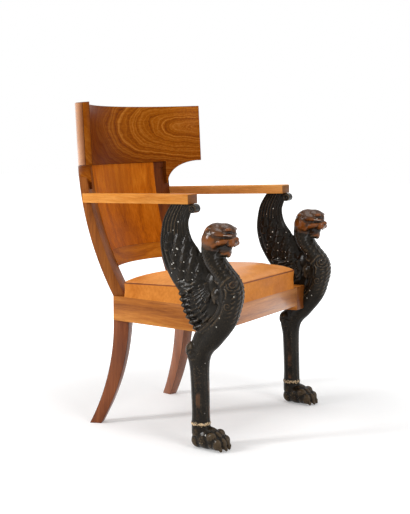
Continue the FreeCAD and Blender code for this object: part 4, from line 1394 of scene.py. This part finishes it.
@dataclass
class WingedLion:
    """One carved support and its wing, drawn with y from the back of the paw and z from the floor."""

    middle: float = 289.0
    heel: float = -172.0
    body_voxel: float = 1.5
    wing_voxel: float = 1.15
    wing_half: float = 11.5
    front_line: tuple[Row, ...] = ((8, 651.2), (20, 622), (26, 596), (17, 562), (-3, 534), (-26, 500),
                                   (-48, 462))
    rear_line: tuple[Row, ...] = ((77, 651.2), (97, 620), (107, 590), (112, 540), (101, 490), (76, 445),
                                  (44, 405))
    volute: Triple = (0.0, 8.0, 638.8)
    volute_radius: float = 12.0
    volute_width: float = 27.0
    primaries: int = 8
    rim_share: float = 0.3
    tip_thick: float = 15.0
    fan_start: float = 3.0
    fan_step: float = 7.6
    fan_flare: float = 20.0
    fan_droop: float = 24.0
    fan_centre: tuple[float, float] = (-62.0, 436.0)
    fan_rows: tuple[Row, ...] = ((118.0, 50.0, 17.0, 9), (94.0, 44.0, 16.0, 9), (70.0, 38.0, 15.0, 8),
                                 (47.0, 32.0, 14.0, 7))
    pearls: tuple[Row, ...] = ((50, 603), (50, 531), (56, 515), (67, 490), (72, 466), (30, 498), (32, 474),
                               (5, 471.5), (5, 453), (32, 450), (50, 451))
    flank_specks: tuple[Row, ...] = ((-84.6, 360.3), (-74.4, 335.9))
    scale_rows: int = 5
    scale_columns: int = 4
    scale_start: tuple[float, float] = (3.0, 539.0)
    scale_shift: float = 9.0
    scale_angle: float = -78.0
    scale_pitch: tuple[float, float] = (26.0, 22.5)
    scale_length: float = 30.0
    scale_width: float = 23.0

    def voxel(self, finest: float) -> float:
        return finest

    def body_block(self) -> Carving:
        """Builds up leg, chest, neck, head and paw.

        Returns:
            The block, before its surface is carved.
        """
        block = Carving()
        block.loft([((0, y, z), (wide, 0, 0), (0, deep, 0)) for z, y, deep, wide in through(TORSO_ROWS, 4)])
        for rows in (MUZZLE_ROWS, JAW_ROWS):
            block.loft([((0, y, z), (wide, 0, 0), (0, 0, high)) for y, z, high, wide in through(rows, 3)])
        block.eggs(HEAD_EGGS + PAW_EGGS + JOINT_EGGS)
        for offset in (-24.0, -8.2, 8.2, 24.0):
            back = 0.014 * offset * offset
            block.egg((offset, -64 + back, 37), (8.6, 17, 14), (-24, 0, 0))
            block.egg((offset * 1.04, -82 + back, 21), (8.8, 13, 16), (10, 0, 0))
            block.egg((offset * 1.05, -93 + back, 9), (4.2, 6, 8), (-18, 0, 0))
        return block

    def side_relief(self, places: np.ndarray, normals: np.ndarray) -> np.ndarray:
        """Carved surface of the chest, flank, knee and leg.

        Args:
            places: Points in mm, x from the middle plane.
            normals: Their normals.

        Returns:
            Heights in mm along the normals.
        """
        x, y, z = places.T
        relief = sum(stroke.relief(y, z) for stroke in FLANK_STROKES)
        relief += sum(np.prod(scroll.cut(y, z), axis=0) for scroll in CHEST_SCROLLS)
        relief *= climb(np.abs(normals[:, 0]), 0.2, 0.4)
        neck = climb(z, 458.0, 12.0) * climb(548.0, z, 10.0)
        relief += 0.45 * (np.abs(np.sin((y * 0.55 + z * 0.42) * 0.6 + 0.7 * np.sin(z * 0.09))) - 0.6) * neck
        front = climb(-normals[:, 1], 0.25, 0.4) * climb(z, 330.0, 25.0) * climb(512.0, z, 20.0)
        tufts = np.abs(np.sin(z * 0.24 + np.abs(x) * 0.2)) * np.abs(np.cos(x * 0.22))
        relief += 1.9 * (tufts - 0.4) * front
        around = np.arctan2(y + 11.0, x)
        leg = climb(z, 62.0, 12.0) * climb(236.0, z, 24.0)
        relief += 0.75 * (np.abs(np.sin(around * 6.0 + z * 0.012)) - 0.6) * leg
        knee = climb(z, 232.0, 8.0) * climb(292.0, z, 12.0)
        relief += 0.7 * (np.abs(np.sin(around * 5.0)) - 0.6) * knee
        relief += 2.0 * np.exp(-((z - 68.0) / 4.0) ** 2) * climb(70.0, np.abs(y), 20.0)
        return relief

    def face_relief(self, places: np.ndarray) -> np.ndarray:
        """Carved surface of the face: eye, brow line, nostril, whisker lines and cheek edge.

        Args:
            places: Points in mm, x from the middle plane.

        Returns:
            Heights in mm along the normals.
        """
        x, y, z = places.T
        relief = sum(stroke.relief(y, z) for stroke in FACE_STROKES)
        relief -= 4.4 * near(y, z, (-108.0, 581.0), (10.0, 4.2))
        relief += 2.4 * near(y, z, (-107.0, 577.5), (5.0, 3.0))
        relief *= climb(np.abs(x), 6.0, 8.0)
        relief -= 2.4 * near(y, z, (-120.0, 560.0), (4.0, 3.0)) * np.exp(-((np.abs(x) - 7.0) / 3.0) ** 2)
        locks = np.abs(np.sin((y + 0.5 * np.abs(x)) * 0.24 + 0.6 * np.sin(x * 0.16)))
        relief += 0.4 * (locks - 0.6) * climb(z, 592.0, 6.0)
        return relief * climb(z, 505.0, 12.0)

    def carve_body(self) -> Mesh:
        """Carves the support and paints its wear and painted shade on.

        Returns:
            Its mesh, in the lion's own drawing.
        """
        mesh = self.body_block().skinned(self.voxel(self.body_voxel), 14)
        places, normals = points_of(mesh)
        relief = self.side_relief(places, normals) + self.face_relief(places)
        places = places + normals * relief[:, None]
        places[:, 2] = np.maximum(places[:, 2], 0.0)
        put_points(mesh, places)
        self.paint_body(mesh)
        return mesh

    def paint_body(self, mesh: Mesh) -> None:
        """Stores where the support is bare, rubbed, chipped and speckled, where its hollows, mouth and eye
        socket take painted shade, and where its eyelid takes a painted highlight.

        Args:
            mesh: The carved support.
        """
        x, y, z = points_of(mesh)[0].T
        ridge = bulge(mesh, self.voxel(self.body_voxel), 7.3)
        head = climb(z, 522.0 + 0.3 * (y + 60.0), 20.0) * climb(-22.0, y, 6.0)
        jaw = near(y, z, (-90.0, 527.0), (14.0, 9.0))
        chest = 0.42 * near(y, z, (-120.0, 440.0), (24.0, 56.0))
        streak = 0.47 * climb(z, 72.0, 10.0) * climb(225.0, z, 20.0)
        streak *= np.clip(np.sin(np.arctan2(y + 11.0, x) * 4.0 + 0.8) * 1.4, 0, 1)
        cheek = near(y, z, (-52.0, 557.0), (20.0, 14.0)) + 0.7 * near(y, z, (-112.0, 556.0), (12.0, 9.0))
        mouth = 1.6 * near(y, z, (-93.0, 541.0), (19.0, 6.5)) * (np.abs(x) < 27)
        ankle = np.exp(-((z - 68.0) / 7.0) ** 2)
        toes = near(y, z, (-30.0, 20.0), (60.0, 25.0))
        shin = 0.26 * near(y, z, (-12.0, 212.0), (40.0, 26.0))
        shin += 0.2 * near(y, z, (-12.0, 130.0), (40.0, 70.0))
        # A painted highlight along the lower eyelid, stored with the white specks.
        lid_highlight = np.exp(-(from_line(FACE_STROKES[0].points, y, z) / 1.8) ** 2) * (np.abs(x) > 12)
        specks = np.maximum.reduce([near(y, z, spot, (2.0, 2.2)) for spot in self.flank_specks])
        # Hollows, the open mouth and the eye socket get painted shade; the lower eyelid gets a painted
        # highlight with the white specks.
        paint(mesh, bare=np.maximum.reduce([head, 0.5 * jaw, chest, streak]),
              wear=0.25 + ridge * 0.55 - 0.15 * (z > 575) + 0.5 * cheek + 0.16 * climb(62.0, z, 10.0),
              hollow=np.clip(-ridge * 0.55 - 0.25, 0, 1) + mouth + near(y, z, (-109.0, 580.0), (8.0, 3.6)),
              chip=0.72 * ankle + 0.34 * toes + shin, pearl=np.maximum(0.72 * lid_highlight, specks))

    def fan(self) -> list[Feather]:
        """Lays out the feathers that sweep back from the shoulder.

        Returns:
            The feathers, the outer row first.
        """
        feathers = []
        for row, (reach, length, width, count) in enumerate(self.fan_rows):
            inner = row / (len(self.fan_rows) - 1)
            for index in range(int(count)):
                turn = self.fan_start - self.fan_step * (index + 0.5 * (row % 2)) * (1.0 + 0.25 * inner)
                far = reach + self.fan_flare * (math.radians(turn) / 1.05) ** 2 * (1.0 - inner)
                angle = turn * (0.34 + 0.3 * inner) - self.fan_droop * inner
                root = [middle + far * out - length * way
                        for middle, out, way in zip(self.fan_centre, heading(turn), heading(angle))]
                feathers.append(Feather((root[0], root[1]), angle, length, width, 2.2 + 1.6 * row, 4.0))
        return feathers

    def scales(self) -> list[Feather]:
        """Lays out the rounded scales over the middle of the wing.

        Returns:
            The scales, in staggered rows from the top.
        """
        scales = []
        across, down = self.scale_pitch
        for row in range(self.scale_rows):
            for index in range(self.scale_columns):
                y = self.scale_start[0] + (index + 0.5 * (row % 2)) * across - self.scale_shift * row
                slope = 0.12 * (y - 30.0)
                z = self.scale_start[1] - row * down + slope
                front, rear = (float(np.interp(-z, -edge[:, 1], edge[:, 0])) for edge in self.edges(8))
                if front + 22.0 < y < rear - 12.0:
                    angle = self.scale_angle - slope
                    c, s = heading(angle)
                    root = (y - self.scale_length * c, z - self.scale_length * s)
                    scales.append(Feather(root, angle, self.scale_length, self.scale_width, 3.4, 2.4,
                                          shaft=0.5, tilt=0.4))
        return scales

    def edges(self, steps: int) -> tuple[np.ndarray, np.ndarray]:
        """Points along the wing's front and rear edges."""
        return np.array(through(self.front_line, steps)), np.array(through(self.rear_line, steps))

    def carve_wing(self) -> Mesh:
        """Carves the wing and paints its wear and painted shade on.

        Returns:
            Its mesh, in the lion's own drawing.
        """
        block = Carving()
        front, rear = self.edges(6)
        rings = []
        for index, (middle, deep) in enumerate(zip((front + rear) / 2.0, (rear - front) / 2.0)):
            half = self.wing_half * (0.86 + 0.4 * index / (len(front) - 1))
            rings.append(((0, *middle), (half, 0, 0), (0, *deep)))
        block.loft(rings)
        block.drum(self.volute, self.volute_radius, self.volute_width)
        block.eggs(WING_EGGS)
        fan = self.fan()
        for feather in fan[:int(self.fan_rows[0][3])]:
            feather.tip_form(block, self.tip_thick)
        mesh = block.skinned(self.voxel(self.wing_voxel), 2)
        self.feather_relief(mesh, self.scales() + fan)
        return mesh

    def wing_shares(self, y: np.ndarray, z: np.ndarray) -> np.ndarray:
        """How far along and across the wing points of its side view lie.

        Args:
            y: Depths of the points.
            z: Heights of the points.

        Returns:
            Their shares of its length, and of its width from the front edge.
        """
        front, rear = self.edges(10)
        across = np.linspace(-0.15, 1.15, 53)
        grid = front[:, None, :] * (1.0 - across)[None, :, None] + rear[:, None, :] * across[None, :, None]
        along = np.repeat(np.linspace(0.0, 1.0, len(front))[:, None], len(across), 1)
        shares = np.stack([along, np.repeat(across[None, :], len(front), 0)], -1).reshape(-1, 2)
        tree = KDTree(len(shares))
        for index, place in enumerate(grid.reshape(-1, 2)):
            tree.insert((0.0, *place), index)
        tree.balance()
        return shares[[tree.find((0.0, py, pz))[1] for py, pz in zip(y, z)]].T

    def feather_relief(self, mesh: Mesh, feathers: Sequence[Feather]) -> None:
        """Cuts long and short feathers into both faces of the wing, and paints its wear and painted shade.

        Args:
            mesh: The wing's skin.
            feathers: Its short feathers.
        """
        places, normals = points_of(mesh)
        x, y, z = places.T
        along, across = self.wing_shares(y, z)
        side = climb(np.abs(normals[:, 0]), 0.12, 0.45)
        rib = -0.5 * np.cos(2.0 * math.pi * across * self.primaries)
        long = 3.6 * rib * climb(0.5 + 0.36 * across, along, 0.16) * (across > self.rim_share)
        rim = 0.9 * np.cos(across * 2.0 * math.pi / 0.085)
        rim *= climb(self.rim_share, across, 0.05) * climb(0.86, along, 0.14)
        bead = 1.7 * np.exp(-((across - 0.33) / 0.022) ** 2) * climb(along, 0.26, 0.1)
        bead *= climb(0.94, along, 0.08) * (0.75 + 0.25 * np.sin(along * 150.0))
        long = long + rim + bead
        short = np.max(np.stack([f.height(y, z) for f in feathers]), axis=0)
        ground = np.where(across > self.rim_share, -1.2, long)
        relief = np.where(short > -50.0, np.maximum(short, ground), long)
        pearls = np.maximum.reduce([near(y, z, spot, (1.7 + 0.5 * math.sin(index * 2.4), 2.0))
                                    for index, spot in enumerate(self.pearls)])
        relief += 1.4 * pearls
        cover, volute = WING_SCROLL.cut(y, z)
        relief = relief * (1.0 - cover) + cover * volute
        places[:, 0] += np.sign(x) * relief * side
        put_points(mesh, places)
        ridge = bulge(mesh, self.voxel(self.wing_voxel), 4.9)
        # The feathers' hollows get painted shade, and the pearls are painted white.
        paint(mesh, bare=0.0, wear=0.1 + ridge * 0.52, hollow=-ridge * 0.7 - 0.15, chip=0.0,
              pearl=1.2 * pearls)

    def build(self) -> None:
        """Carves one support and one wing, and sets both down on each side."""
        finish = EbonisedPaint("ebonised_paint").material()
        forms = {"lion": self.carve_body(), "wing": self.carve_wing()}
        for side, sign in SIDES:
            for name, mesh in forms.items():
                own = mesh.copy()
                own.transform(Matrix.Translation((sign * self.middle * MM, self.heel * MM, 0.0)))
                piece = new_piece(f"{side}_carved_{name}", own, finish, 180.0)
                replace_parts(piece, f"{side}_{name}")
            LOG.info("%s lion set", side)


@dataclass
class Studio:
    """White floor, soft lamps and the camera."""

    eye: Triple = (-2.8304, -1.6079, 0.8419)
    gaze: Triple = (0.8686, 0.4825, -0.1125)
    focal: float = 1118.13
    frame_height: float = 514.0
    sensor: float = 36.0

    def camera(self) -> None:
        """Sets the camera where the picture was taken from."""
        data = bpy.data.cameras.new("camera")
        data.sensor_width = self.sensor
        data.lens = self.focal / self.frame_height * self.sensor
        data.clip_end = 60.0
        camera = linked("camera", data)
        camera.location = self.eye
        camera.rotation_euler = Vector(self.gaze).to_track_quat("-Z", "Y").to_euler()
        bpy.context.scene.camera = camera

    def lamp(self, name: str, place: Triple, target: Triple, size: tuple[float, float], power: float) -> None:
        """Hangs one soft rectangular lamp.

        Args:
            name: The lamp's name.
            place: Where it hangs, in metres.
            target: What it shines at.
            size: Its width and height.
            power: Its watts.
        """
        data = bpy.data.lights.new(name, "AREA")
        data.shape = "RECTANGLE"
        data.size, data.size_y = size
        data.energy = power
        lamp = linked(name, data)
        lamp.location = place
        lamp.rotation_euler = (Vector(target) - Vector(place)).to_track_quat("-Z", "Y").to_euler()

    def world(self, ambient: float) -> None:
        """Makes the surroundings white to the camera, and plainer for the object.

        Args:
            ambient: Strength of the light that reaches the object.
        """
        world = bpy.data.worlds.new("studio")
        bpy.context.scene.world = world
        world.use_nodes = True
        tree = world.node_tree
        tree.nodes.clear()
        strength = tree.nodes.new("ShaderNodeMapRange")
        strength.inputs["To Min"].default_value = ambient
        strength.inputs["To Max"].default_value = 1.0
        tree.links.new(backdrop_rays(tree), strength.inputs["Value"])
        ground = tree.nodes.new("ShaderNodeBackground")
        ground.inputs["Color"].default_value = (1.0, 1.0, 1.0, 1.0)
        tree.links.new(strength.outputs["Result"], ground.inputs["Strength"])
        output = tree.nodes.new("ShaderNodeOutputWorld")
        tree.links.new(ground.outputs["Background"], output.inputs["Surface"])

    def floor(self, glow: float) -> None:
        """Lays a pale floor that keeps the shadow and runs out into white away from the chair.

        Args:
            glow: How much white the camera sees on top of the lit floor.
        """
        shape = bmesh.new()
        bmesh.ops.create_grid(shape, x_segments=1, y_segments=1, size=14.0)
        floor = linked("floor", as_mesh("floor", shape))
        nodes = Nodes("floor_paper")
        spread = nodes.add("ShaderNodeVectorMath", operation="LENGTH")
        nodes.feed(spread.inputs[0], nodes.source.outputs["Object"])
        lift = nodes.fade(spread.outputs["Value"], 0.5, 1.5, glow, 1.0)
        glowing = nodes.times(lift, backdrop_rays(nodes.tree))
        paper = nodes.surface(Base_Color=(0.8, 0.8, 0.8, 1.0), Roughness=0.9, Specular_IOR_Level=0.1,
                              Emission_Color=(1.0, 1.0, 1.0, 1.0), Emission_Strength=glowing)
        floor.data.materials.append(paper)

    def build(self) -> None:
        """Sets up the studio."""
        bpy.context.scene.view_settings.view_transform = "Standard"
        self.camera()
        self.world(0.4)
        self.floor(0.24)
        self.lamp("side", (-2.6, 1.9, 1.7), (0.0, 0.0, 0.5), (0.45, 1.4), 70.0)
        self.lamp("front", (-1.5, -3.4, 2.3), (0.0, 0.0, 0.5), (1.6, 1.6), 56.0)
        self.lamp("top", (0.0, 0.1, 3.6), (0.0, 0.0, 0.4), (2.0, 2.0), 46.0)
        LOG.info("studio lit")


def main() -> None:
    """Builds the armchair's looks, piece by piece."""
    logging.basicConfig(level=logging.INFO, format="%(name)s: %(message)s")
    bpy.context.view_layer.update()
    joinery = JoineryFrame()
    joinery.build()
    joinery.dress_hidden()
    LeatherSeat().build()
    WingedLion().build()
    Studio().build()


if __name__ == "__main__":
    main()
